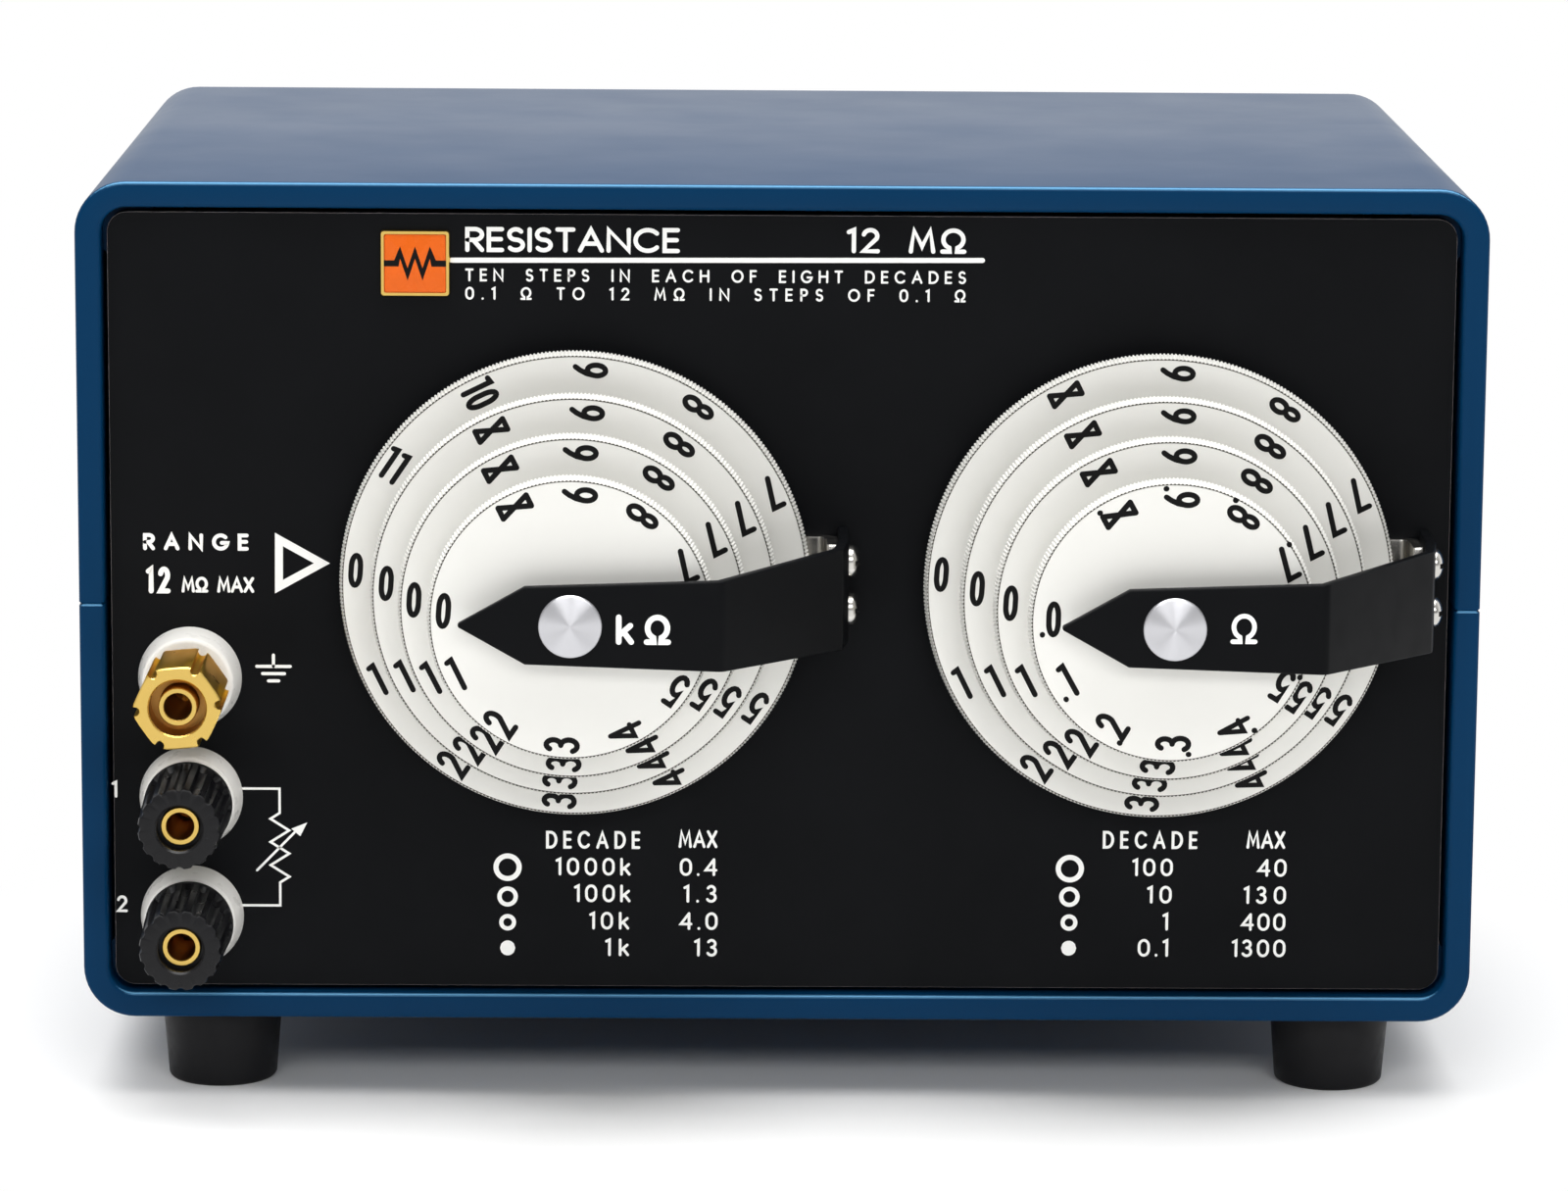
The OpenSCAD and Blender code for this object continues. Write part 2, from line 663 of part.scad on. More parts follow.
// The strap's edges spread evenly from its point to its foot
module strap_front_outline() {
    shoulder = strap_point - strap_tip;
    polygon([
        [-strap_tip, 0], [shoulder, strap_w / 2], [strap_bend, strap_bend_w / 2],
        [strap_leg_x, strap_leg_w / 2], [strap_reach, strap_leg_w / 2],
        [strap_reach, -strap_leg_w / 2], [strap_leg_x, -strap_leg_w / 2],
        [strap_bend, -strap_bend_w / 2], [shoulder, -strap_w / 2]
    ]);
}

module cursor_strap(side) color("#17181b") from_case(dial_xs[side], 0, dial_z) difference() {
    intersection() {
        translate([0, 0, -strap_foot_w / 2]) linear_extrude(strap_foot_w) strap_plan();
        union() {
            translate([0, strap_front - eps, 0]) slab(2 * eps + strap_leg_y - strap_front)
                strap_front_outline();
            strap_foot_side();
        }
    }
    translate([0, strap_front, 0]) bore(button_body_d + 2 * fix_clear, strap_t);
    at_strap_screws() across(small_screw_d + 2 * hole_clear, strap_t);
}

// Side view of the strap's foot, spreading towards the panel
module strap_foot_side() {
    translate([strap_bend, 0, 0]) rotate([90, 0, 90]) linear_extrude(strap_reach)
        polygon([
            [strap_leg_y, -strap_leg_w / 2], [panel_recess, -strap_foot_w / 2],
            [panel_recess, strap_foot_w / 2], [strap_leg_y, strap_leg_w / 2]
        ]);
}

// Round bar along X, going left from X = 0
module across(d, length) translate([eps, 0, 0]) rotate([0, -90, 0]) cylinder(d = d, h = length + 2 * eps);

module at_strap_screws() {
    for (z = [-1, 1])
        translate([strap_reach, panel_recess - strap_screw_y, z * strap_screw_gap / 2]) children();
}

bracket_x = strap_reach - strap_t;
bracket_screw_x = bracket_x - bracket_t - bracket_foot_l / 2;

module at_bracket_screws(side) {
    for (z = [-1, 1])
        from_case(dial_xs[side] + bracket_screw_x, panel_recess, dial_z + z * bracket_screw_gap / 2)
            children();
}

// Plated angle: its foot lies on the panel and its upright carries the strap
module strap_brackets() color("#c9cacb") for (s = [0, 1]) difference() {
    from_case(dial_xs[s] + bracket_x, panel_recess, dial_z - bracket_h / 2) linear_extrude(bracket_h) {
        inner = bracket_t + bracket_bend_r;
        translate([-bracket_t - bracket_foot_l, -bracket_t]) square([bracket_foot_l, bracket_t]);
        translate([-bracket_t, -bracket_up_l]) square([bracket_t, bracket_up_l]);
        difference() {
            translate([-inner, -inner]) square(inner);
            translate([-inner, -inner]) circle(bracket_bend_r);
        }
    }
    at_bracket_screws(s) translate([0, -bracket_t, 0]) bore(small_screw_d + 2 * fix_clear, bracket_t);
    from_case(dial_xs[s], 0, dial_z) at_strap_screws() translate([-strap_t, 0, 0])
        across(small_screw_d + 2 * fix_clear, bracket_t);
}

// Height of the crown over the straight side of a strap screw's head
crown_h = strap_head_h - strap_head_side;

module strap_screws() color("#d4d5d6") for (s = [0, 1]) from_case(dial_xs[s], 0, dial_z) at_strap_screws() {
    grip = strap_t + bracket_t;
    translate([-grip, 0, 0]) rotate([0, 90, 0]) cylinder(d = small_screw_d, h = grip);
    difference() {
        rotate([0, 90, 0]) union() {
            cylinder(d = strap_head_d, h = strap_head_side);
            translate([0, 0, strap_head_side])
                cylinder(d1 = strap_head_d, d2 = strap_head_d - 2 * crown_h, h = crown_h);
        }
        translate([strap_head_h / 2, -strap_head_d / 2, -small_slot_w / 2])
            cube([strap_head_h, strap_head_d, small_slot_w]);
    }
}

module bracket_screws() color("#b9bcc0") for (s = [0, 1]) at_bracket_screws(s) {
    translate([0, -bracket_t, 0]) bar(small_screw_d, bracket_t + panel_t);
    translate([0, panel_t, 0]) bar(small_head_d, small_head_h);
}

// Spun button in the strap, with a blind bearing hole for the innermost shaft
module bearing_buttons() color("#d7d8d9") for (s = [0, 1])
    on_axis(s, strap_front - button_proud) difference() {
        union() {
            bar(button_d, button_proud);
            bar(button_body_d, button_proud + strap_t + button_back);
        }
        translate([0, button_floor, 0]) bar(rod_d + 2 * run_clear, strap_t + button_back + eps);
    }

module at_switch_rods() {
    for (z = [-1, 1]) translate([0, 0, z * switch_rod_r]) children();
}

module at_contacts(side, k) {
    for (n = [0:contacts(side, k) - 1]) spin(contact_angle(n)) translate([contact_r, 0, 0]) children();
}

module wafer(side, k) on_axis(side, wafer_front(k)) difference() {
    union() {
        bar(wafer_d, wafer_t);
        at_switch_rods() bar(spacer_d + 2 * ear_rim, wafer_t);
        slab(wafer_t) square([spacer_d + 2 * ear_rim, 2 * switch_rod_r], center = true);
    }
    bore(shaft_od(k) + 2 * wafer_clear, wafer_t);
    at_switch_rods() bore(switch_rod_d + 2 * hole_clear, wafer_t);
    at_contacts(side, k) bore(contact_tail_d + 2 * fix_clear, wafer_t);
}

module switch_wafers() color("#8a5a2b") for (s = [0, 1], k = DECKS) wafer(s, k);

module contact_studs() color("#c9a04a") for (s = [0, 1], k = DECKS)
    on_axis(s, wafer_front(k)) at_contacts(s, k) {
        translate([0, -contact_head_h, 0]) bar(contact_head_d, contact_head_h);
        translate([0, -contact_head_h / 2, 0])
            bar(contact_tail_d, contact_head_h / 2 + wafer_t + contact_tail_l);
    }

switch_rod_end = wafer_front(last_deck) + wafer_t + rod_nut_t + rod_tail;

module switch_rods() color("#b9bcc0") for (s = [0, 1])
    on_axis(s, panel_recess - switch_head_t) at_switch_rods() {
        bar(switch_head_d, switch_head_t);
        bar(switch_rod_d, switch_rod_end - panel_recess + switch_head_t);
    }

module rod_nuts() color("#b9bcc0") for (s = [0, 1])
    on_axis(s, wafer_front(last_deck) + wafer_t) at_switch_rods()
        hex_nut(rod_nut_af, switch_rod_d + 2 * fix_clear, rod_nut_t);

// Long spacers reach from the panel or a wafer to the next detent springs, short ones on to the next wafer
module wafer_spacers() color("#c8cacc") for (s = [0, 1], k = DECKS) {
    start = k == 1 ? panel_back : wafer_front(k - 1) + wafer_t;
    spring_y = wafer_front(k) - spring_front;
    on_axis(s, start) at_switch_rods() tube(spacer_d, switch_rod_d + 2 * fix_clear, spring_y - start);
    on_axis(s, spring_y + spring_t) at_switch_rods()
        tube(spacer_d, switch_rod_d + 2 * fix_clear, wafer_front(k) - spring_y - spring_t);
}

// Leaf on a switch rod with a round nose at the detent wheel
module detent_springs() color("#aeb4ba") for (s = [0, 1], k = DECKS, turn = [90, 270])
    on_axis(s, wafer_front(k) - spring_front) spin(turn) {
        nose_at = detent_d / 2 + detent_gap + nose_r;
        slab(spring_t) difference() {
            union() {
                translate([nose_at, 0]) circle(nose_r);
                translate([nose_at, -nose_r]) square([switch_rod_r - nose_at, 2 * nose_r]);
                translate([switch_rod_r, 0]) circle(d = spring_w + 2 * eye_rim);
                translate([(nose_at + switch_rod_r) / 2, -spring_w / 2])
                    square([(switch_rod_r - nose_at) / 2, spring_w]);
            }
            translate([switch_rod_r, 0]) circle(switch_rod_d / 2 + fix_clear);
        }
    }

// Hub, detent wheel and wiper of one deck; the wiper stands on contact 0
module rotor(side, k) color("#2b2b2e") on_axis(side, wafer_front(k)) difference() {
    hub_back = contact_head_h + wiper_gap;
    union() {
        translate([0, -rotor_hub_l, 0]) bar(shaft_od(k) + 2 * rotor_hub_wall, rotor_hub_l - hub_back);
        translate([0, -detent_ahead - detent_t / 2, 0]) difference() {
            bar(detent_d, detent_t);
            for (n = [0:dial_steps - 1]) spin(n * step_angle) translate([detent_d / 2, 0, 0])
                bore(detent_notch_d, detent_t);
        }
        translate([0, -hub_back - wiper_t, 0]) slab(wiper_t)
            translate([-contact_r - wiper_w / 2, -wiper_w / 2]) square([contact_r + wiper_w / 2, wiper_w]);
    }
    translate([0, -rotor_hub_l, 0]) bore(shaft_od(k) + 2 * fix_clear, rotor_hub_l);
}

// Resistors lie on the back of each wafer, between neighbouring contacts
module resistors() color("#6f9a86") for (s = [0, 1], k = DECKS, n = [0:contacts(s, k) - 2])
    on_axis(s, wafer_front(k) + wafer_t + resistor_d / 2)
        spin(contact_angle(n + 0.5)) translate([contact_r * cos(step_angle / 2), 0, 0]) {
            span = contact_chord - contact_tail_d - 2 * run_clear;
            cylinder(d = resistor_d, h = resistor_l, center = true);
            cylinder(d = resistor_lead_d, h = span, center = true);
        }

// Round wire through a list of points, with a ball at each bend
module wire(points) {
    for (i = [0:len(points) - 2]) {
        way = points[i + 1] - points[i];
        translate(points[i]) rotate([0, acos(way[2] / norm(way)), atan2(way[1], way[0])])
            cylinder(d = lead_d, h = norm(way));
        if (i > 0) translate(points[i]) sphere(d = lead_d);
    }
}

// Leads pass just behind the tails of a deck's contacts
function tail_y(k) = wafer_front(k) + wafer_t + contact_tail_l + lead_d / 2 + hole_clear;

// From terminal 1 to the left stack, on to the right stack, and back to terminal 2
module hookup_leads() color("#b3302a") from_case(0, 0, 0) {
    tag_x = post_x + lug_reach - tag_w / 2;
    tag_y = nut_front + lead_d / 2;
    first = [dial_xs[0] - contact_r, dial_z];
    last_angle = contact_angle(contacts(0, last_deck) - 1);
    last = [dial_xs[0] + contact_r * cos(last_angle), dial_z + contact_r * sin(last_angle)];
    second = [dial_xs[1] - contact_r, dial_z];
    low_z = dial_z - switch_rod_r - lead_drop;
    link_x = (dial_xs[0] + dial_xs[1]) / 2;
    front_y = tail_y(1);
    rear_y = tail_y(last_deck);
    wire([[tag_x, tag_y, post_zs[1]], [tag_x, front_y, post_zs[1]], [tag_x, front_y, first[1]],
          [first[0], front_y, first[1]]]);
    wire([[last[0], rear_y, last[1]], [last[0], rear_y, low_z], [link_x, rear_y, low_z],
          [link_x, front_y, low_z], [link_x, front_y, second[1]], [second[0], front_y, second[1]]]);
    wire([[second[0], rear_y, second[1]], [second[0], rear_y, post_zs[2]], [tag_x, rear_y, post_zs[2]],
          [tag_x, tag_y, post_zs[2]]]);
}

upper_shell();
lower_shell();
front_panel();
rear_panel();
tie_rods();
rear_screws();
rubber_feet();
foot_screws();
badge_plate();
post_insulators();
ground_stud();
terminal_studs();
post_nuts();
solder_lugs();
panel_bushings();
bushing_nuts();
cursor_strap(0);  // cursor_strap_left
cursor_strap(1);  // cursor_strap_right
strap_brackets();
strap_screws();
bracket_screws();
bearing_buttons();
switch_wafers();
contact_studs();
switch_rods();
rod_nuts();
wafer_spacers();
detent_springs();
resistors();
hookup_leads();
ground_cap();
fluted_cap(1);  // terminal_1_cap
fluted_cap(2);  // terminal_2_cap
for (i = [0:2]) clamp_washer(i);
for (s = [0, 1], k = DECKS) {
    dial(s, k);
    shaft(s, k);
    rotor(s, k);
}
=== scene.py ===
"""The looks of a decade resistor box with two stacks of four dials.

Sizes are in millimetres in the part's own frame, x to the right, y to the back and z up from the floor.
They become metres where a piece is made.
"""

from math import asin, atan2, copysign, cos, degrees, hypot, pi, radians, sin, sqrt, tan

import bmesh
import bpy
from mathutils import Matrix, Vector


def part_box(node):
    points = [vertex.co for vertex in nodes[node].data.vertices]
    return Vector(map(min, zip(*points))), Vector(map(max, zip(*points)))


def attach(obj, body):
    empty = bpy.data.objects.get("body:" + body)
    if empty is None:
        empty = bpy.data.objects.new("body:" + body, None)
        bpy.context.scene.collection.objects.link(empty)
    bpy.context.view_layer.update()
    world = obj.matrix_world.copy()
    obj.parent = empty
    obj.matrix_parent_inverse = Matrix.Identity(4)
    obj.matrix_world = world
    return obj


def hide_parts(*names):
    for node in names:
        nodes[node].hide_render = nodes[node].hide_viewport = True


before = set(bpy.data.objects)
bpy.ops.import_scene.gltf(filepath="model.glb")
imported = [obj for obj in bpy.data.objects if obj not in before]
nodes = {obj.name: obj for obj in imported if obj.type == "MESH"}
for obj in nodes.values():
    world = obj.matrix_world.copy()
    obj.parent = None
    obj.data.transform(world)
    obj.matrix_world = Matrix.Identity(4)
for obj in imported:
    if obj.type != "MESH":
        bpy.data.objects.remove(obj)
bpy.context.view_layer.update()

MM = 0.001
SIDES = ("left", "right")
DECKS = (1, 2, 3, 4)
POSTS = ("ground", "terminal_1", "terminal_2")


def box(*names):
    """Lowest and highest corner of some CAD nodes, in millimetres."""
    corners = [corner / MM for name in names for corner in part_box(name)]
    return [Vector([pick(c[i] for c in corners) for i in range(3)]) for pick in (min, max)]


def middle(*names):
    """The middle of that box."""
    low, high = box(*names)
    return (low + high) / 2


# Places that the frame gives

case_low, case_high = box("upper_shell", "lower_shell")
seam_z = box("upper_shell")[0].z
panel_front = box("front_panel")[0].y
panel_back = box("front_panel")[1].y
rear_panel_front = box("rear_panel")[0].y
axes = {side: middle(f"dial_{side}_1") for side in SIDES}
posts = {post: middle(f"{post}_cap") for post in POSTS}

# Sizes that the frame doesn't give

wall = 4.0
case_corner = 8.0
case_edge = 0.7
seam_edge = 0.3
ledge_w = 1.6
ledge_t = 1.5
ledge_play = 0.05
panel_chamfer = 0.25
boss_r = 5.0
boss_hole_r = 2.7

dial_t = 3.0
hub_wall = 4.0
bore_play = 0.02
knurl_pitch = 0.6
knurl_depth = 0.2
rim_taper = 0.43
rim_taper_l = 2.2
crest_drop = 0.08
dial_edge = 0.2
groove_inset = 0.74
groove_w = 0.28
groove_depth = 0.2
groove_draft = 0.02

strap_t = 1.6
strap_edge = 0.3
strap_bend_r = 1.9
strap_point = 10.0
strap_half = 5.9
strap_nose = 0.25
end_trim = 0.25
strap_front_bend = 22.8
strap_foot_l = 16.7
strap_seat_l = 9.5
strap_splay = 1.0
strap_seat_r = 8.0

ink_lift = 0.02
ink_sink = 0.03
ink_layer = 0.002
ink_dot = 0.02
WELD = 1e-8
SMOOTH = radians(32)


# Shapes


class Shape:
    """Points in millimetres and the faces between them."""

    def __init__(self):
        self.points = []
        self.faces = []

    def add(self, points, faces):
        first = len(self.points)
        self.points.extend(Vector(p) for p in points)
        self.faces.extend(tuple(first + i for i in face) for face in faces)


def loft(shape, rings, wrap=False):
    """Joins rings of equal length; wrap joins the last to the first, else the two ends are closed."""
    size = len(rings[0])
    count = len(rings)
    faces = []
    for k in range(count if wrap else count - 1):
        here = k * size
        there = (k + 1) % count * size
        for i in range(size):
            j = (i + 1) % size
            faces.append((here + i, here + j, there + j, there + i))
    if not wrap:
        faces.append(tuple(range(size)))
        faces.append(tuple(range((count - 1) * size, count * size)))
    shape.add([p for ring in rings for p in ring], faces)


def arc(cx, cy, rx, ry, start, end, steps=14):
    """Points along part of an ellipse, angles in degrees."""
    angles = [radians(start + (end - start) * i / steps) for i in range(steps + 1)]
    return [(cx + rx * cos(a), cy + ry * sin(a)) for a in angles]


def rounded(corners, steps=5):
    """An outline whose corners (u, v, radius) are rounded; a radius of 0 keeps a corner sharp."""
    outline = []
    for i, (u, v, radius) in enumerate(corners):
        here = Vector((u, v))
        if not radius:
            outline.append((u, v))
            continue
        back = (Vector(corners[i - 1][:2]) - here).normalized()
        ahead = (Vector(corners[(i + 1) % len(corners)][:2]) - here).normalized()
        half = back.angle(ahead) / 2
        centre = here + (back + ahead).normalized() * (radius / sin(half))
        first = here + back * (radius / tan(half)) - centre
        last = here + ahead * (radius / tan(half)) - centre
        start = atan2(first.y, first.x)
        sweep = (atan2(last.y, last.x) - start + pi) % (2 * pi) - pi
        for k in range(steps + 1):
            a = start + sweep * k / steps
            outline.append((centre.x + radius * cos(a), centre.y + radius * sin(a)))
    return outline


X, Y, Z = (Vector(way) for way in ((1, 0, 0), (0, 1, 0), (0, 0, 1)))
AXES = {"x": (Y, Z, X), "y": (X, Z, Y), "z": (X, Y, Z)}
CORNERS = ((-1, -1), (1, -1), (1, 1), (-1, 1))


def place_round(centre, axis):
    """Gives the point at (u, v) across an axis and t along it."""
    side, up, along = AXES[axis]
    base = centre - along * centre.dot(along)
    return lambda u, v, t: base + side * u + up * v + along * t


def turned(shape, profile, centre, axis, around=72, radius_at=None):
    """Turns a profile of (radius, place), from the axis on or round a bore; radius_at may alter radii."""
    place = place_round(centre, axis)
    rings = []
    for r, t in profile:
        ring = []
        for k in range(around):
            a = 2 * pi * k / around
            radius = radius_at(r, t, k) if radius_at else r
            ring.append(place(radius * cos(a), radius * sin(a), t))
        rings.append(ring)
    loft(shape, rings, wrap=profile[0][0] > 0)


# Pieces


def put(name, data):
    """Adds an object to the scene."""
    obj = bpy.data.objects.new(name, data)
    bpy.context.scene.collection.objects.link(obj)
    return obj


def raw_object(name, shape):
    """An object in metres, with doubled points joined and its faces outwards."""
    mesh = bpy.data.meshes.new(name)
    mesh.from_pydata([p * MM for p in shape.points], [], shape.faces)
    work = bmesh.new()
    work.from_mesh(mesh)
    bmesh.ops.remove_doubles(work, verts=work.verts, dist=WELD)
    bmesh.ops.recalc_face_normals(work, faces=work.faces)
    work.to_mesh(mesh)
    work.free()
    return put(name, mesh)


def cut(obj, cutter_shape):
    """Takes a shape out of a piece."""
    cutter = raw_object(obj.name + "_cutter", cutter_shape)
    modifier = obj.modifiers.new("cut", "BOOLEAN")
    modifier.object = cutter
    modifier.solver = "EXACT"
    bpy.context.view_layer.update()
    graph = bpy.context.evaluated_depsgraph_get()
    mesh = bpy.data.meshes.new_from_object(obj.evaluated_get(graph))
    obj.modifiers.clear()
    obj.data = mesh
    bpy.data.objects.remove(cutter)


def piece(name, shape, finish, stands_for=(), body="case", holes=()):
    """One shown piece of the object."""
    obj = raw_object(name, shape)
    for hole in holes:
        cut(obj, hole)
    obj.data.shade_smooth()
    obj.data.set_sharp_from_angle(angle=SMOOTH)
    obj.data.materials.clear()
    obj.data.materials.append(finish)
    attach(obj, body)
    if stands_for:
        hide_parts(*stands_for)
    return obj


# Materials

# Sockets of a mix node for colours
MIX_INPUTS = (0, 6, 7)
MIX_RESULT = 2

# Most noise values lie between these two
NOISE_LOW = 0.3
NOISE_HIGH = 0.7
LEAST_ROUGH = 0.02


def srgb(red, green, blue):
    """A colour as a screen shows it, 0 to 255, in linear light."""
    def linear(value):
        share = value / 255
        return share / 12.92 if share <= 0.04045 else ((share + 0.055) / 1.055) ** 2.4
    return (linear(red), linear(green), linear(blue), 1.0)


def feed(socket, value):
    """Gives an input a plain value, or links it to an output of another node."""
    if isinstance(value, bpy.types.NodeSocket):
        socket.id_data.links.new(value, socket)
    else:
        socket.default_value = value


def feed_all(node, *numbered, **named):
    """Feeds inputs of a node by order, or by name with _ for a space."""
    for number, value in enumerate(numbered):
        feed(node.inputs[number], value)
    for name, value in named.items():
        feed(node.inputs[name.replace("_", " ")], value)


def new_node(tree, kind, *numbered, operation=None, **named):
    """Adds a shader node and feeds it."""
    node = tree.nodes.new(f"ShaderNode{kind}")
    if operation:
        node.operation = operation
    feed_all(node, *numbered, **named)
    return node


def math_node(tree, operation, *values):
    """The outcome of an operation on one or two values."""
    return new_node(tree, "Math", *values, operation=operation).outputs["Value"]


def colour_mix(tree, *parts):
    """Blends two colours; the parts are the share, the first colour and the second."""
    node = new_node(tree, "Mix")
    node.data_type = "RGBA"
    for number, part in zip(MIX_INPUTS, parts):
        feed(node.inputs[number], part)
    return node.outputs[MIX_RESULT]


def look(name, colour, roughness, metal=0.0, level=0.5, tint=0.08, tint_mm=6.0, spread=0.08, rough_mm=2.0,
         grain_mm=0.4, relief=0.004, edge=(1, 1, 1, 1)):
    """A surface whose colour, gloss and relief vary with noise of sizes in millimetres."""
    mat = bpy.data.materials.new(name)
    mat.use_nodes = True
    tree = mat.node_tree
    place = new_node(tree, "TexCoord").outputs["Object"]

    def noise(size, detail):
        return new_node(tree, "TexNoise", Vector=place, Scale=1 / (size * MM), Detail=detail).outputs["Fac"]

    darker = [c * (1 - tint) for c in colour[:3]] + [1]
    lighter = [min(1, c * (1 + tint)) for c in colour[:3]] + [1]
    shade = colour_mix(tree, noise(tint_mm, 4), darker, lighter)
    gloss = new_node(tree, "MapRange", Value=noise(rough_mm, 3), From_Min=NOISE_LOW, From_Max=NOISE_HIGH,
                     To_Min=max(LEAST_ROUGH, roughness - spread), To_Max=min(1, roughness + spread))
    bump = new_node(tree, "Bump", Strength=1.0, Distance=relief * MM, Height=noise(grain_mm, 3))
    feed_all(tree.nodes["Principled BSDF"], Base_Color=shade, Metallic=metal, Specular_IOR_Level=level,
             Specular_Tint=edge, Roughness=gloss.outputs["Result"], Normal=bump.outputs["Normal"])
    return mat


def pale_edges(mat, colour):
    """A painted highlight: the upper rounded edges that run from left to right get a paler colour, as if lit
    from above.
    """
    slant_from = 0.36
    slant_full = 0.5
    tree = mat.node_tree
    base = tree.nodes["Principled BSDF"].inputs["Base Color"]
    painted = base.links[0].from_socket
    apart = new_node(tree, "SeparateXYZ", new_node(tree, "NewGeometry").outputs["True Normal"])
    slant = math_node(tree, "MULTIPLY", math_node(tree, "ABSOLUTE", apart.outputs["Y"]), apart.outputs["Z"])
    lit_share = new_node(tree, "MapRange", Value=slant, From_Min=slant_from, From_Max=slant_full)
    feed(base, colour_mix(tree, lit_share.outputs["Result"], painted, colour))


blue_paint = look("blue_paint", srgb(2, 49, 84), 0.3, level=0.07, tint=0.04, tint_mm=30, rough_mm=20,
                  spread=0.02, grain_mm=4.0, relief=0.0006)
# Painted highlight on the case's upper front and back edges, in a paler blue.
pale_edges(blue_paint, srgb(100, 160, 202))
black_panel = look("black_panel", srgb(15, 16, 18), 0.5, level=0.06, tint=0.25, tint_mm=18, rough_mm=5,
                   grain_mm=1.4, relief=0.012)
rubber = look("rubber", srgb(24, 24, 26), 0.5, level=0.16, tint=0.12, relief=0.008)
white_moulding = look("white_moulding", srgb(236, 234, 229), 0.32, level=0.35, tint=0.02, grain_mm=1.5,
                      relief=0.003)
brass = look("brass", (0.87, 0.6, 0.16, 1), 0.3, metal=1, tint=0.04, tint_mm=4, spread=0.03,
             rough_mm=3, grain_mm=1.2, relief=0.0006, edge=(0.85, 0.5, 0.13, 1))
# Painted shade: a darker brass for the insides of bores and recesses.
shaded_brass = look("shaded_brass", (0.47, 0.25, 0.07, 1), 0.34, metal=1, tint=0.3, tint_mm=2, spread=0.05,
                  grain_mm=0.8, relief=0.002)
nickel = look("nickel", (0.72, 0.7, 0.66, 1), 0.22, metal=1, tint=0.05, tint_mm=3, spread=0.05,
              grain_mm=0.8, relief=0.0015)
black_strap = look("black_strap", srgb(12, 13, 15), 0.4, level=0.07, tint=0.15, tint_mm=9, rough_mm=4,
                   spread=0.06, grain_mm=0.8, relief=0.003)
white_dial = look("white_dial", srgb(229, 228, 223), 0.34, level=0.3, tint=0.02, tint_mm=14, rough_mm=6,
                  spread=0.04, grain_mm=2.5, relief=0.002)
black_cap = look("black_cap", srgb(13, 13, 16), 0.32, level=0.3, tint=0.15, spread=0.06, grain_mm=0.8)
steel = look("steel", (0.6, 0.6, 0.6, 1), 0.3, metal=1, tint_mm=2, grain_mm=0.3)
wafer_brown = look("wafer_brown", srgb(120, 78, 44), 0.5, tint=0.18, tint_mm=3, grain_mm=0.5, relief=0.01)
rotor_black = look("rotor_black", srgb(24, 23, 23), 0.45, tint=0.15, grain_mm=0.5)
resistor_green = look("resistor_green", srgb(70, 104, 72), 0.35, tint=0.15, tint_mm=1.5, grain_mm=0.3)
lead_red = look("lead_red", srgb(150, 28, 24), 0.42, tint=0.1)
white_ink = look("white_ink", srgb(245, 245, 242), 0.5, level=0.2, tint=0.03, tint_mm=0.8)
black_ink = look("black_ink", srgb(9, 9, 9), 0.45, level=0.15, tint=0.2, tint_mm=0.8)
# Painted shade for the dials' narrow grooves, with patchy noise in its strength.
painted_groove_shade = look("painted_groove_shade", srgb(84, 81, 75), 0.6, level=0.1, tint=0.5, tint_mm=16)
# Bare metal on the panel's chamfers, made pale and unmetallic so that it also stands for a painted highlight.
bare_edge_highlight = look("bare_edge_highlight", srgb(196, 184, 182), 0.5, level=0.3, tint=0.3, tint_mm=14, grain_mm=0.6)
orange_enamel = look("orange_enamel", srgb(226, 98, 10), 0.28, level=0.25, tint_mm=2.5, grain_mm=1.5)


def spun_look():
    """Aluminium turned on a lathe: the scratches run round the axis."""
    mat = look("spun_silver", (0.74, 0.74, 0.77, 1), 0.34, metal=1, tint=0.02, tint_mm=2,
               spread=0.03, grain_mm=0.8, relief=0.0005)
    tree = mat.node_tree
    tangent = new_node(tree, "Tangent")
    tangent.direction_type = "RADIAL"
    tangent.axis = "Y"
    feed_all(tree.nodes["Principled BSDF"], Anisotropic=0.9, Anisotropic_Rotation=0.25,
             Tangent=tangent.outputs["Tangent"])
    return mat


spun_silver = spun_look()


def dress(finish, *names):
    """Gives a finish to CAD nodes that keep their shape."""
    for name in names:
        nodes[name].data.materials.clear()
        nodes[name].data.materials.append(finish)


# The case: two folded half shells, two panels and four feet


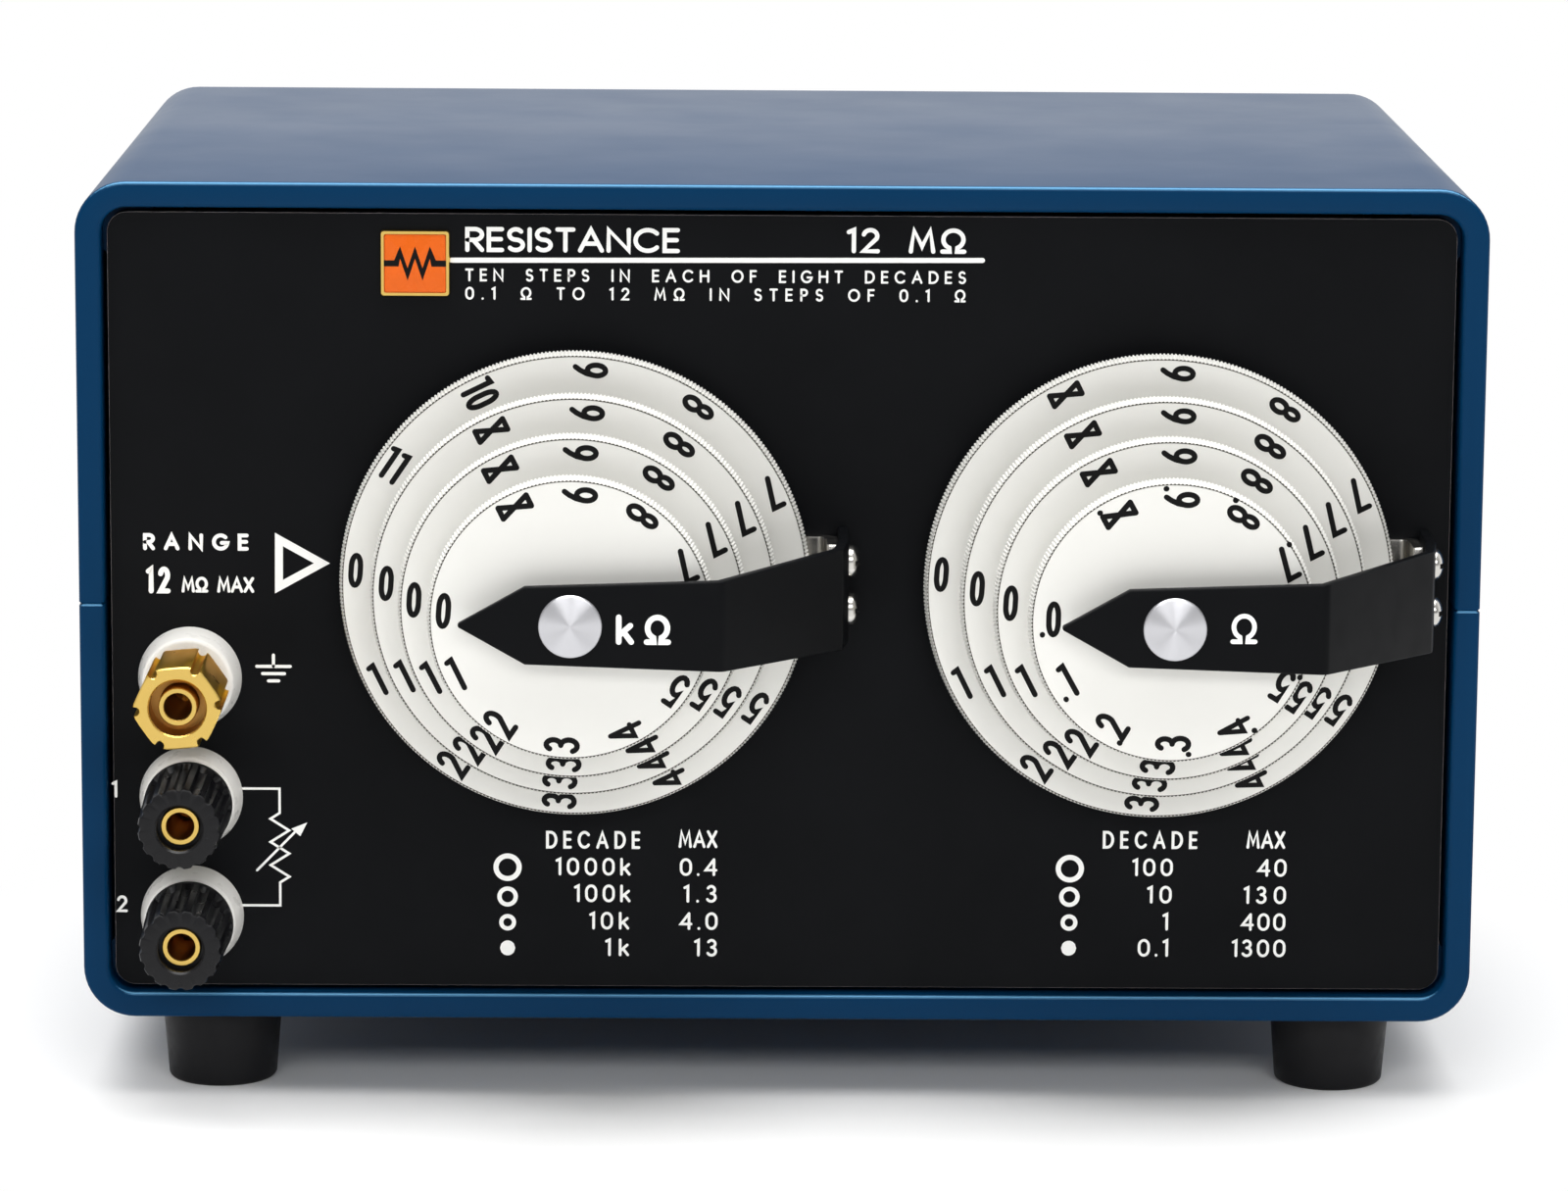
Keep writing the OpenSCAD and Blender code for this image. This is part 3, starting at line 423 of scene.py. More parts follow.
def shell(name, up):
    """A half shell: a rounded wall from seam to seam, with a ledge inside it before the rear panel."""
    flip = 1 if up else -1
    half_w = case_high.x
    rise = abs((case_high.z if up else case_low.z) - seam_z)
    path = [((-half_w, 0), (1, 0)), ((-half_w, rise - case_corner), (1, 0))]
    for centre_x, start, end in ((-half_w + case_corner, 180, 90), (half_w - case_corner, 90, 0)):
        for x, z in arc(centre_x, rise - case_corner, case_corner, case_corner, start, end, 12):
            inward = Vector((centre_x - x, rise - case_corner - z)).normalized()
            path.append(((x, z), tuple(inward)))
    path += [((half_w, rise - case_corner), (-1, 0)), ((half_w, 0), (-1, 0))]

    ledge_d = wall + ledge_w
    ledge_back = rear_panel_front - ledge_play
    ledge_front = ledge_back - ledge_t

    def section(point, inward, along, shrink):
        edge = case_edge - shrink / 2
        front = case_low.y + shrink
        back = case_high.y - shrink
        ring = rounded([(shrink, front, edge), (wall - shrink, front, edge), (wall - shrink, ledge_front, 0),
                        (ledge_d - shrink, ledge_front, 0), (ledge_d - shrink, ledge_back, 0),
                        (wall - shrink, ledge_back, 0), (wall - shrink, back, edge), (shrink, back, edge)])
        return [Vector((point[0] + inward[0] * d, y, seam_z + flip * (point[1] + inward[1] * d + along)))
                for d, y in ring]

    rings = [section(*path[0], 0, seam_edge), section(*path[0], seam_edge, 0)]
    rings += [section(*step, 0, 0) for step in path[1:-1]]
    rings += [section(*path[-1], seam_edge, 0), section(*path[-1], 0, seam_edge)]
    shape = Shape()
    loft(shape, rings)
    boss_z = seam_z + flip * (rise - case_corner)
    for x in (-half_w + case_corner, half_w - case_corner):
        turned(shape, [(boss_hole_r, panel_back), (boss_r, panel_back), (boss_r, rear_panel_front),
                       (boss_hole_r, rear_panel_front)], Vector((x, 0, boss_z)), "y", around=40)
    piece(f"{name}_skin", shape, blue_paint, [name])


shell("upper_shell", True)
shell("lower_shell", False)


def feet():
    """Four tapered rubber feet with a rolled lower edge and a deep hole for the screw."""
    low, high = box("rubber_feet")
    shape = Shape()
    top_r = 9.525
    tread_r = 8.5
    tread_edge = 0.9
    screw_r = 2.2
    head_r = 4.2
    head_z = 5.0
    for x in (low.x + top_r, high.x - top_r):
        for y in (low.y + top_r, high.y - top_r):
            profile = rounded([(screw_r, high.z, 0), (top_r, high.z, 0.25), (tread_r, low.z, tread_edge),
                               (head_r, low.z, 0.3), (head_r, head_z, 0), (screw_r, head_z, 0.2)])
            turned(shape, profile, Vector((x, y, 0)), "z")
    piece("feet_moulded", shape, rubber, ["rubber_feet"])


def panel_edges():
    """The front panel's edges are chamfered through the paint to bare metal; the chamfer's pale, unmetallic
    colour is partly a painted highlight.
    """
    weld_gap = 0.001
    square_edge = radians(60)
    panel = nodes["front_panel"]
    panel.data.materials.append(bare_edge_highlight)
    weld = panel.modifiers.new("weld", "WELD")
    weld.merge_threshold = weld_gap * MM
    chamfer = panel.modifiers.new("chamfer", "BEVEL")
    chamfer.width = panel_chamfer * MM
    chamfer.segments = 1
    chamfer.limit_method = "ANGLE"
    chamfer.angle_limit = square_edge
    chamfer.material = 1


feet()
dress(black_panel, "front_panel", "rear_panel")
panel_edges()


# The binding posts


def insulators():
    """A white cone outside the panel and a washer inside for every post, with a spigot each."""
    low, high = box("post_insulators")
    shape = Shape()
    bore_r = 3.02
    spigot_r = 4.4
    spigot_l = 1.4
    nose_r = 7.0
    nose_edge = 0.8
    base_r = 8.15
    washer_r = 6.0
    edge = 0.2
    front_end = panel_front + spigot_l
    back_end = panel_back - spigot_l
    for post in POSTS:
        outside = rounded([(bore_r, low.y, edge), (nose_r, low.y, nose_edge), (base_r, panel_front, 0.25),
                           (spigot_r, panel_front, 0), (spigot_r, front_end, edge),
                           (bore_r, front_end, edge)])
        inside = rounded([(bore_r, back_end, edge), (spigot_r, back_end, edge), (spigot_r, panel_back, 0),
                          (washer_r, panel_back, edge), (washer_r, high.y, 2 * edge), (bore_r, high.y, edge)])
        for profile in (outside, inside):
            turned(shape, profile, posts[post], "y")
    piece("post_bushes", shape, white_moulding, ["post_insulators"])


def dull_inside(obj, centres, radius, end):
    """Brass inside a bore or a recess, as far back as the end, gets a darker colour: painted shade for the
    dimness deep inside it.
    """
    obj.data.materials.append(shaded_brass)
    for face in obj.data.polygons:
        spot = face.center / MM
        off = min(hypot(spot.x - centre.x, spot.z - centre.z) for centre in centres)
        if off < radius and spot.y < end:
            face.material_index = 1


def studs(node, names):
    """Threaded studs with a bore for a plug in the front and a cross hole for a wire."""
    low, high = box(node)
    stud_r = 3.0
    thread_pitch = 1.0
    thread_depth = 0.25
    bore_r = 2.1
    bore_l = 16.0
    bore_tip = 1.0
    plain_nose = 2.6
    plain_end = 0.5
    mouth = 0.15
    mouth_flare = 0.12
    end_chamfer = 0.4
    wire_y = -56.725
    wire_r = 1.0
    wire_room = 2.0
    around = 24
    steps = 5
    start = low.y + plain_nose

    def radius_at(r, t, k):
        if r < stud_r or t < start or abs(t - wire_y) < wire_room or t > high.y - plain_end:
            return r
        phase = (t / thread_pitch + k / around) % 1
        return r - thread_depth * abs(1 - 2 * phase)

    shape = Shape()
    holes = Shape()
    count = round((high.y - low.y - plain_nose) / thread_pitch * steps)
    for name in names:
        outer = [(stud_r, start + (high.y - end_chamfer - start) * i / count) for i in range(count + 1)]
        profile = [(bore_r, low.y + mouth), (bore_r + mouth_flare, low.y), (stud_r - mouth, low.y),
                   (stud_r, low.y + mouth)]
        profile += outer + [(stud_r - end_chamfer, high.y), (0, high.y), (0, low.y + bore_l + bore_tip),
                            (bore_r, low.y + bore_l)]
        centre = posts[name]
        turned(shape, profile, centre, "y", around, radius_at)
        below = centre.z - 2 * stud_r
        above = centre.z + 2 * stud_r
        turned(holes, [(0, below), (wire_r, below), (wire_r, above), (0, above)],
               Vector((centre.x, wire_y, 0)), "z", around)
    stud = piece(f"{node}_threaded", shape, brass, [node], holes=[holes])
    # The insides of the bores get painted shade.
    dull_inside(stud, [posts[name] for name in names], bore_r + 0.02, low.y + bore_l + 1.5 * bore_tip)


def fluted_cap(post):
    """A moulded cap with sixteen flutes that run out before its collar."""
    low, high = box(f"{post}_cap")
    flutes = 16
    front_r = 6.35
    back_r = 6.9
    flute_r = 0.75
    flute_centre = 6.725
    collar = 1.5
    edge = 0.45
    run_out_l = 0.8
    mouth_r = 3.5
    mouth_l = 3.0
    mouth_edge = 0.3
    bore_r = 3.05
    no_flute = 99.0
    offsets = (-9.6, -7.4, -6.2, -4.6, -2.4, 0, 2.4, 4.6, 6.2, 7.4, 9.6)
    angles = [radians(360 / flutes * n + d) for n in range(flutes) for d in offsets]
    place = place_round(posts[post], "y")

    def flute(offset):
        off = radians(offset)
        reach = flute_r ** 2 - (flute_centre * sin(off)) ** 2
        return flute_centre * cos(off) - sqrt(reach) if reach > 0 else no_flute

    def ring(r, t, fluted=False, sink=0.0):
        points = []
        for k, a in enumerate(angles):
            radius = min(r, flute(offsets[k % len(offsets)]) - sink) if fluted else r
            points.append(place(radius * cos(a), radius * sin(a), t))
        return points

    def cone(t):
        return front_r + (back_r - front_r) * (t - low.y) / (high.y - low.y)

    collar_y = high.y - collar
    flute_end = collar_y - run_out_l
    rings = [ring(mouth_r, low.y + mouth_edge), ring(mouth_r + mouth_edge, low.y),
             ring(front_r - edge, low.y, True, 0.25), ring(front_r - 0.12, low.y + 0.12, True, 0.06),
             ring(cone(low.y + edge), low.y + edge, True), ring(cone(flute_end), flute_end, True),
             ring(cone(collar_y), collar_y), ring(back_r, high.y - mouth_edge),
             ring(back_r - mouth_edge, high.y), ring(bore_r, high.y), ring(bore_r, low.y + mouth_l),
             ring(mouth_r, low.y + mouth_l)]
    shape = Shape()
    loft(shape, rings, wrap=True)
    piece(f"{post}_knob", shape, black_cap, [f"{post}_cap"], f"{post}_cap")


def ground_cap():
    """A brass hexagon nut, chamfered, with a slot along every corner."""
    low, high = box("ground_cap")
    place = place_round(posts["ground"], "y")
    flat_r = 6.3
    slot_half = 0.68
    slot_r = 5.75
    mouth_r = 4.35
    mouth_l = 5.0
    mouth_edge = 0.2
    bore_r = 3.05
    round_r = 6.75
    back_r = 6.2
    turn = 5.0
    shoulder = flat_r / cos(radians(30)) - slot_half / tan(radians(60))
    widest = radians(10)
    corner_step = radians(0.3)

    def corner(n):
        """The way out to a corner, and the way across it."""
        a = radians(60 * n + turn)
        return Vector((cos(a), sin(a))), Vector((-sin(a), cos(a)))

    outline = []
    for n in range(6):
        here, side = corner(n)
        there, there_side = corner(n + 1)
        bottom = here * (slot_r + slot_half)
        for bearing in (-90, -60, -30, 0, 30, 60, 90):
            off = radians(bearing)
            point = bottom - here * slot_half * cos(off) + side * slot_half * sin(off)
            outline.append(("wall" if abs(bearing) == 90 else "floor", point))
        first = here * shoulder + side * slot_half
        last = there * shoulder - there_side * slot_half
        outline.append(("corner", first))
        outline += [("flat", first + (last - first) * share) for share in (0.1, 0.3, 0.5, 0.7, 0.9)]
        outline.append(("corner", last))

    def ring(limit, t, inner=False, size=1.0):
        """The outline drawn in to a round limit; the slots keep their width as far as they reach."""
        points = []
        for kind, p in outline:
            if not inner and p.length * size <= limit:
                points.append(place(*(p * size), t))
                continue
            a = atan2(p.y, p.x)
            if kind in ("wall", "corner"):
                middle_a = radians(60 * round((degrees(a) - turn) / 60) + turn)
                reach = min(asin(slot_half / limit), widest) + (0 if kind == "wall" else corner_step)
                off = atan2(sin(a - middle_a), cos(a - middle_a))
                a = middle_a + copysign(reach, off)
            points.append(place(limit * cos(a), limit * sin(a), t))
        return points

    mouth_end = low.y + mouth_l
    rings = [ring(mouth_r, low.y + 0.25, True), ring(mouth_r + mouth_edge, low.y, True),
             ring(6.4, low.y, size=0.97), ring(6.62, low.y + 0.18), ring(round_r, low.y + 0.5),
             ring(round_r, high.y - 0.7), ring(back_r, high.y), ring(bore_r, high.y, True),
             ring(bore_r, mouth_end, True), ring(mouth_r, mouth_end, True)]
    shape = Shape()
    loft(shape, rings, wrap=True)
    knob = piece("ground_knob", shape, brass, ["ground_cap"], "ground_cap")
    # The inside of the recess gets painted shade.
    dull_inside(knob, [posts["ground"]], mouth_r + 0.05, mouth_end + 0.1)


insulators()
studs("ground_stud", ["ground"])
studs("terminal_studs", ["terminal_1", "terminal_2"])
ground_cap()
fluted_cap("terminal_1")
fluted_cap("terminal_2")


# Ink: strokes of one width with round ends, on a flat face


def left_of(way):
    """The way to the left of another one, of length one."""
    way = way.normalized()
    return Vector((-way.y, way.x))


def stroke_stations(path, half, closed):
    """Points of a stroke with the direction across it and its half width there."""
    least_spread = 0.5
    fold = 1e-6
    end_turns = (80, 60, 35)
    points = [Vector(p) for p in path]
    count = len(points)
    stations = []
    for i, p in enumerate(points):
        sides = []
        if closed or i:
            sides.append(left_of(p - points[i - 1]))
        if closed or i < count - 1:
            sides.append(left_of(points[(i + 1) % count] - p))
        across = sum(sides, Vector((0, 0)))
        across = across.normalized() if across.length > fold else sides[0]
        stations.append((p, across, half / max(least_spread, across.dot(sides[0]))))
    if closed:
        return stations

    def round_end(i, beside):
        way = (points[i] - points[beside]).normalized() * half
        angles = [radians(a) for a in end_turns]
        return [(points[i] + way * sin(a), stations[i][1], half * cos(a)) for a in angles]

    return round_end(0, 1) + stations + round_end(-1, -2)[::-1]


def ribbon(shape, path, width, place, closed=False, layer=0):
    """A stroke of ink; place gives the point at (u, v) on the face and a height above it."""
    lift = ink_lift + ink_layer * layer
    rings = []
    for p, across, half in stroke_stations(path, width / 2, closed):
        left = p + across * half
        right = p - across * half
        rings.append([place(*left, lift), place(*right, lift),
                      place(*right, -ink_sink), place(*left, -ink_sink)])
    loft(shape, rings, wrap=closed)


def sign(width, *lines, loops=()):
    """A sign's width as a share of its height, and its strokes in a unit square, the closed ones first."""
    return width, [(path, True) for path in loops] + [(path, False) for path in lines]


def half_turn(path):
    """A path in the unit square, turned upside down."""
    return [(1 - u, 1 - v) for u, v in path]


UPRIGHT = [(0, 0), (0, 1)]
FALL = [(0, 1), (1, 0)]
RISE = [(1, 1), (0, 0)]
ROOF = [(0, 1), (1, 1)]
BOWL = arc(0.5, 0.3, 0.48, 0.3, 90, 430, 24)
TAIL = [(0.03, 0.36), (0.16, 0.62), (0.42, 0.84), (0.7, 1)]

SIGNS = {
    "0": sign(0.62, loops=[arc(0.5, 0.62, 0.5, 0.38, 0, 180) + arc(0.5, 0.38, 0.5, 0.38, 180, 360)]),
    "1": sign(0.2, [(0, 0.9), (1, 1), (1, 0)]),
    "2": sign(0.58, arc(0.5, 0.72, 0.46, 0.28, 165, -28) + [(0.03, 0), (1, 0)]),
    "3": sign(0.55, arc(0.46, 0.765, 0.42, 0.235, 150, -90), arc(0.45, 0.265, 0.5, 0.265, 90, -150)),
    "4": sign(0.66, [(0.8, 0), (0.8, 1)], [(0.8, 1), (0, 0.3), (1, 0.3)]),
    "5": sign(0.56, [(0.9, 1), (0.22, 1), (0.1, 0.53)] + arc(0.45, 0.32, 0.52, 0.32, 122, -145)),
    "6": sign(0.58, TAIL, loops=[BOWL]),
    "7": sign(0.56, [(0, 1), (1, 1), (0.34, 0)]),
    "8": sign(0.58, loops=[arc(0.5, 0.765, 0.4, 0.235, -90, 255, 24),
                           arc(0.5, 0.27, 0.5, 0.27, 90, 435, 24)]),
    "9": sign(0.58, half_turn(TAIL), loops=[half_turn(BOWL)]),
    "X": sign(0.66, FALL, RISE),
    "10": sign(0.5, ROOF, [(0, 0), (1, 0)], FALL, RISE),
    ".": sign(0.0, [(0.5, 0), (0.5, 0.01)]),
    "Ω": sign(0.86, [(0, 0), (0.33, 0)] + arc(0.5, 0.57, 0.46, 0.43, 246, -66, 26) + [(0.67, 0), (1, 0)]),
    "k": sign(0.5, UPRIGHT, [(0.92, 0.66), (0.04, 0.27)], [(0.36, 0.42), (1, 0)]),
    "A": sign(0.8, [(0, 0), (0.5, 1), (1, 0)], [(0.2, 0.33), (0.8, 0.33)]),
    "C": sign(0.82, arc(0.55, 0.5, 0.55, 0.5, 42, 318, 24)),
    "D": sign(0.72, loops=[UPRIGHT + arc(0.35, 0.5, 0.65, 0.5, 90, -90)]),
    "E": sign(0.48, [(1, 1), (0, 1), (0, 0), (1, 0)], [(0, 0.52), (0.92, 0.52)]),
    "F": sign(0.46, UPRIGHT + [(1, 1)], [(0, 0.52), (0.88, 0.52)]),
    "G": sign(0.88, arc(0.52, 0.5, 0.52, 0.5, 45, 352, 26) + [(0.6, 0.44)]),
    "H": sign(0.7, UPRIGHT, [(1, 0), (1, 1)], [(0, 0.52), (1, 0.52)]),
    "I": sign(0.0, [(0.5, 0), (0.5, 1)]),
    "M": sign(0.88, [(0, 0), (0.14, 1), (0.5, 0.22), (0.86, 1), (1, 0)]),
    "N": sign(0.74, UPRIGHT + [(1, 0), (1, 1)]),
    "O": sign(0.92, loops=[arc(0.5, 0.5, 0.5, 0.5, 90, 440, 35)]),
    "P": sign(0.52, UPRIGHT + arc(0.5, 0.73, 0.5, 0.27, 90, -90) + [(0, 0.46)]),
    "R": sign(0.54, UPRIGHT + arc(0.5, 0.74, 0.5, 0.26, 90, -90) + [(0, 0.48)], [(0.4, 0.48), (1, 0)]),
    "S": sign(0.52, arc(0.5, 0.75, 0.46, 0.25, 35, 270) + arc(0.5, 0.25, 0.5, 0.25, 90, -145)[1:]),
    "T": sign(0.58, ROOF, [(0.5, 0), (0.5, 1)]),
}


def write(page, text, base, height, width, left, right=None, squeeze=1.0, word=0.7):
    """Signs spread from left to right on a page, a shape and its face; a single sign needs no right end."""
    shape, place = page
    inner = height - width
    sizes = [word * inner if c == " " else SIGNS[c][0] * squeeze * inner for c in text]
    gaps = max(1, len(text) - 1)
    step = 0 if right is None else (right - left - width - sum(sizes)) / gaps
    start = left + width / 2
    for c, size in zip(text, sizes):
        if c != " ":
            for layer, (path, closed) in enumerate(SIGNS[c][1]):
                points = [(start + u * size, base + width / 2 + v * inner) for u, v in path]
                ribbon(shape, points, width, place, closed, layer)
        start += size + step


def on_face(face_y):
    """Places ink on a face that looks to the front."""
    return lambda x, z, lift: Vector((x, face_y - lift, z))


# The dials and their figures

figure_h = 5.5
figure_stroke = 0.84
open_stroke = 0.76
figure_widths = {"0": 2.25, "2": 2.6, "3": 2.65, "4": 2.65, "5": 2.6, "6": 2.55, "7": 2.5, "8": 2.55,
                 "9": 2.55, "10": 2.65}
flag_l = 0.75
flag_drop = 0.16
figure_inset = 2.6
figure_turns = {"left": (-4.0, -4.1, -3.0, -4.0), "right": (-3.7, -3.4, -2.9, -1.0)}
pointed_shift = Vector((0.7, 0.2))
pointed_inset = 0.5
point_place = (-1.62, -2.42)
point_layer = 5
pair_places = (-0.45, 1.5)
one_shift = 0.25
dial_step = 30
BAR_TEN = "10"


def dial(side, k):
    """A slim disc with a knurled, tapered rim, a fine line turned at its edge whose dark floor is painted
    shade, and a hub behind it.
    """
    node = f"dial_{side}_{k}"
    low, high = box(node)
    rim = (high.z - low.z) / 2
    shaft_low, shaft_high = box(f"shaft_{side}_{k}")
    bore = (shaft_high.x - shaft_low.x) / 2 + bore_play
    face = low.y
    back = face + dial_t
    crest = rim - rim_taper
    line = rim - groove_inset
    teeth = round(2 * pi * rim / knurl_pitch)

    def radius_at(r, t, i):
        return r - knurl_depth if r in (rim, crest) and i % 4 > 1 else r

    hub = bore - bore_play + hub_wall
    groove_in = line + groove_draft
    groove_out = line + groove_w - groove_draft
    groove_y = face + groove_depth
    profile = [(bore, face), (line, face), (groove_in, groove_y), (groove_out, groove_y),
               (line + groove_w, face), (crest, face + crest_drop), (rim, face + rim_taper_l),
               (rim, back - dial_edge), (rim - dial_edge - knurl_depth, back), (hub, back), (hub, high.y),
               (bore, high.y)]
    shape = Shape()
    turned(shape, profile, axes[side], "y", teeth * 4, radius_at)
    body = f"{side}_dial_{k}"
    piece(f"{node}_disc", shape, white_dial, [node], body)
    # Painted shade: a dark ring in the groove's floor stands for the groove's shadow.
    shade_ring = Shape()
    shade_front = groove_y - ink_lift
    shade_back = groove_y + ink_sink
    turned(shade_ring, [(groove_in, shade_front), (groove_out, shade_front), (groove_out, shade_back),
                  (groove_in, shade_back)], axes[side], "y", teeth)
    piece(f"{node}_line", shade_ring, painted_groove_shade, body=body)
    figures(side, k, rim, face, body)


def figures(side, k, rim, face, body):
    """Figures that stand upright on the left of the dial, and turn with it."""
    long = (side, k) == ("left", 1)
    pointed = (side, k) == ("right", 4)
    labels = [[str(n)] for n in range(10)] + ([["1", "0"], ["1", "1"]] if long else [[BAR_TEN]])
    ring_r = rim - figure_inset
    centre = Vector((axes[side].x, axes[side].z))
    if pointed:
        ring_r -= pointed_inset
        centre += pointed_shift
    shape = Shape()
    for n, label in enumerate(labels):
        a = radians(180 + dial_step * n + figure_turns[side][k - 1])
        out = Vector((cos(a), sin(a)))
        right = -out
        up = Vector((out.y, -out.x))
        origin = centre + out * ring_r

        def place(u, v, lift):
            p = origin + right * u + up * v
            return Vector((p.x, face - lift, p.y))

        middles = pair_places if len(label) == 2 else (one_shift if label == ["1"] else 0,)
        for mark, centre_u in zip(label, middles):
            figure(shape, mark, centre_u, place)
        if pointed:
            u, v = point_place
            ribbon(shape, [(u, v), (u, v + 0.05)], figure_stroke, place, layer=point_layer)
    piece(f"dial_{side}_{k}_figures", shape, black_ink, body=body)


def figure(shape, mark, centre_u, place):
    """One narrow figure; the four, with its closed corner, has a finer stroke."""
    stroke = open_stroke if mark == "4" else figure_stroke
    inner_h = figure_h - stroke
    if mark == "1":
        top = inner_h / 2
        path = [(centre_u - flag_l, top - flag_drop), (centre_u, top), (centre_u, -top)]
        ribbon(shape, path, stroke, place)
        return
    inner_w = figure_widths[mark] - stroke
    for layer, (path, closed) in enumerate(SIGNS[mark][1]):
        points = [(centre_u + (u - 0.5) * inner_w, (v - 0.5) * inner_h) for u, v in path]
        ribbon(shape, points, stroke, place, closed, layer)


for side in SIDES:
    for k in DECKS:
        dial(side, k)


# The cursor straps that bridge the dials


def strap(side):
    """A black strip that tapers from its foot, bent back to the panel, to its tip over the dials."""
    tip_steps = {0.0, 0.15, 0.5}
    point_blend = 0.4
    end_step = 0.3
    hole_r = 3.52
    hole_reach = 1
    node = f"cursor_strap_{side}"
    low, high = box(node)
    axis = axes[side]
    leg_y = high.y - strap_foot_l
    corners = [(low.x, low.y, 0), (axis.x + strap_front_bend, low.y, strap_bend_r),
               (high.x - strap_splay, leg_y, strap_bend_r), (high.x, high.y - strap_seat_l, strap_seat_r),
               (high.x, high.y, 0)]
    route = [Vector(p) for p in rounded(corners, 8)]
    lengths = [0.0]
    for a, b in zip(route, route[1:]):
        lengths.append(lengths[-1] + (b - a).length)
    taper = ((high.z - low.z) / 2 - strap_half) / (lengths[-1] - strap_point)

    def at(s):
        """The point and the way along the route at a length from the tip."""
        for i in range(len(route) - 1):
            if s <= lengths[i + 1] or i == len(route) - 2:
                way = (route[i + 1] - route[i]).normalized()
                return route[i] + way * (s - lengths[i]), way

    def half_at(s):
        if s < strap_point:
            return strap_nose + (strap_half - strap_nose) * s / strap_point
        return strap_half + taper * (s - strap_point)

    point_steps = {strap_point - point_blend, strap_point, strap_point + point_blend}
    stops = sorted(tip_steps | point_steps | {lengths[-1] - end_step} | set(lengths))
    rings = []
    for s in stops:
        point, way = at(s)
        behind = left_of(way)
        half = half_at(s)
        inset = end_trim if s in (0.0, lengths[-1]) else 0
        trim = min(inset, half / 2)
        edge = min(strap_edge, (half - trim) * 0.6)
        outline = rounded([(inset, trim - half, edge), (inset, half - trim, edge),
                           (strap_t - inset, half - trim, edge), (strap_t - inset, trim - half, edge)], 3)
        rings.append([Vector((point.x + behind.x * d, point.y + behind.y * d, axis.z + w))
                      for d, w in outline])
    shape = Shape()
    loft(shape, rings)
    hole = Shape()
    front = low.y - hole_reach
    back = low.y + strap_t + hole_reach
    turned(hole, [(0, front), (hole_r, front), (hole_r, back), (0, back)], axis, "y", 48)
    piece(f"{node}_strip", shape, black_strap, [node], holes=[hole])


def brackets():
    """Folded angle brackets that hold the straps to the panel."""
    low, high = box("strap_brackets")
    upright_t = 1.8
    foot_l = 12.0
    bend_in = 1.5
    bend_out = 2.6
    end_round = 0.4
    heel_round = 0.3
    edge = 0.35
    edge_pull = 0.4
    shape = Shape()
    for side in SIDES:
        outer = box(f"cursor_strap_{side}")[1].x - strap_t
        inner = outer - upright_t
        heel = inner - foot_l
        foot_y = panel_front - upright_t
        profile = rounded([(heel, foot_y, heel_round), (inner, foot_y, bend_in), (inner, low.y, end_round),
                           (outer, low.y, end_round), (outer, panel_front, bend_out),
                           (heel, panel_front, heel_round)])
        rings = []
        for t, shrink in ((low.z, edge), (low.z + edge, 0), (high.z - edge, 0), (high.z, edge)):
            ring = []
            for u, v in profile:
                toward = Vector((inner + upright_t / 2, panel_front - upright_t / 2)) - Vector((u, v))
                step = toward.normalized() * shrink if toward.length > shrink else Vector((0, 0))
                ring.append(Vector((u + step.x * edge_pull, v + step.y * edge_pull, t)))
            rings.append(ring)
        loft(shape, rings)
    piece("strap_brackets_folded", shape, nickel, ["strap_brackets"])


def strap_screws():
    """Domed, slotted screws through the foot of each strap."""
    low, high = box("strap_screws")
    head_r = 2.5
    head_h = 1.9
    head_side = 0.5
    shank_r = 1.2
    slot_half = 0.4
    slot_depth = 0.8
    slot_reach = 3
    spread = (high.z - low.z) / 2 - head_r
    grip = box("cursor_strap_left")[1].x - low.x
    shape = Shape()
    slots = Shape()
    y = (low.y + high.y) / 2
    for side in SIDES:
        outer = box(f"cursor_strap_{side}")[1].x
        top = outer + head_h
        for z in (axes[side].z - spread, axes[side].z + spread):
            dome = [(u, outer + head_side + t) for u, t in arc(0, 0, head_r, head_h - head_side, 90, 0, 9)]
            dome[0] = (0, top)
            profile = dome + [(head_r, outer), (shank_r, outer), (shank_r, outer - grip), (0, outer - grip)]
            turned(shape, profile, Vector((0, y, z)), "x", 36)
            loft(slots, [[Vector((x, y + u * slot_reach, z + v * slot_half)) for u, v in CORNERS]
                         for x in (top - slot_depth, top + 1)])
    piece("strap_screws_domed", shape, nickel, ["strap_screws"], holes=[slots])


def buttons():
    """Spun buttons over the ends of the inner shafts."""
    low, high = box("bearing_buttons")
    cap_r = 4.75
    body_r = 3.5
    bore_r = 2.05
    cap_t = 1.0
    body_edge = 0.3
    strap_y = box("cursor_strap_left")[0].y
    for side in SIDES:
        profile = [(0, low.y), (cap_r - 0.42, low.y), (cap_r - 0.12, low.y + 0.1), (cap_r, low.y + 0.25),
                   (cap_r, strap_y), (body_r, strap_y), (body_r, high.y - body_edge),
                   (body_r - body_edge, high.y), (bore_r, high.y), (bore_r, low.y + cap_t),
                   (0, low.y + cap_t)]
        shape = Shape()
        turned(shape, profile, axes[side], "y", 96)
        piece(f"bearing_button_{side}", shape, spun_silver,
              ["bearing_buttons"] if side == "left" else ())


for side in SIDES:
    strap(side)
brackets()
strap_screws()
buttons()


# The badge: an enamelled plate in a brass frame, with a zigzag of its own


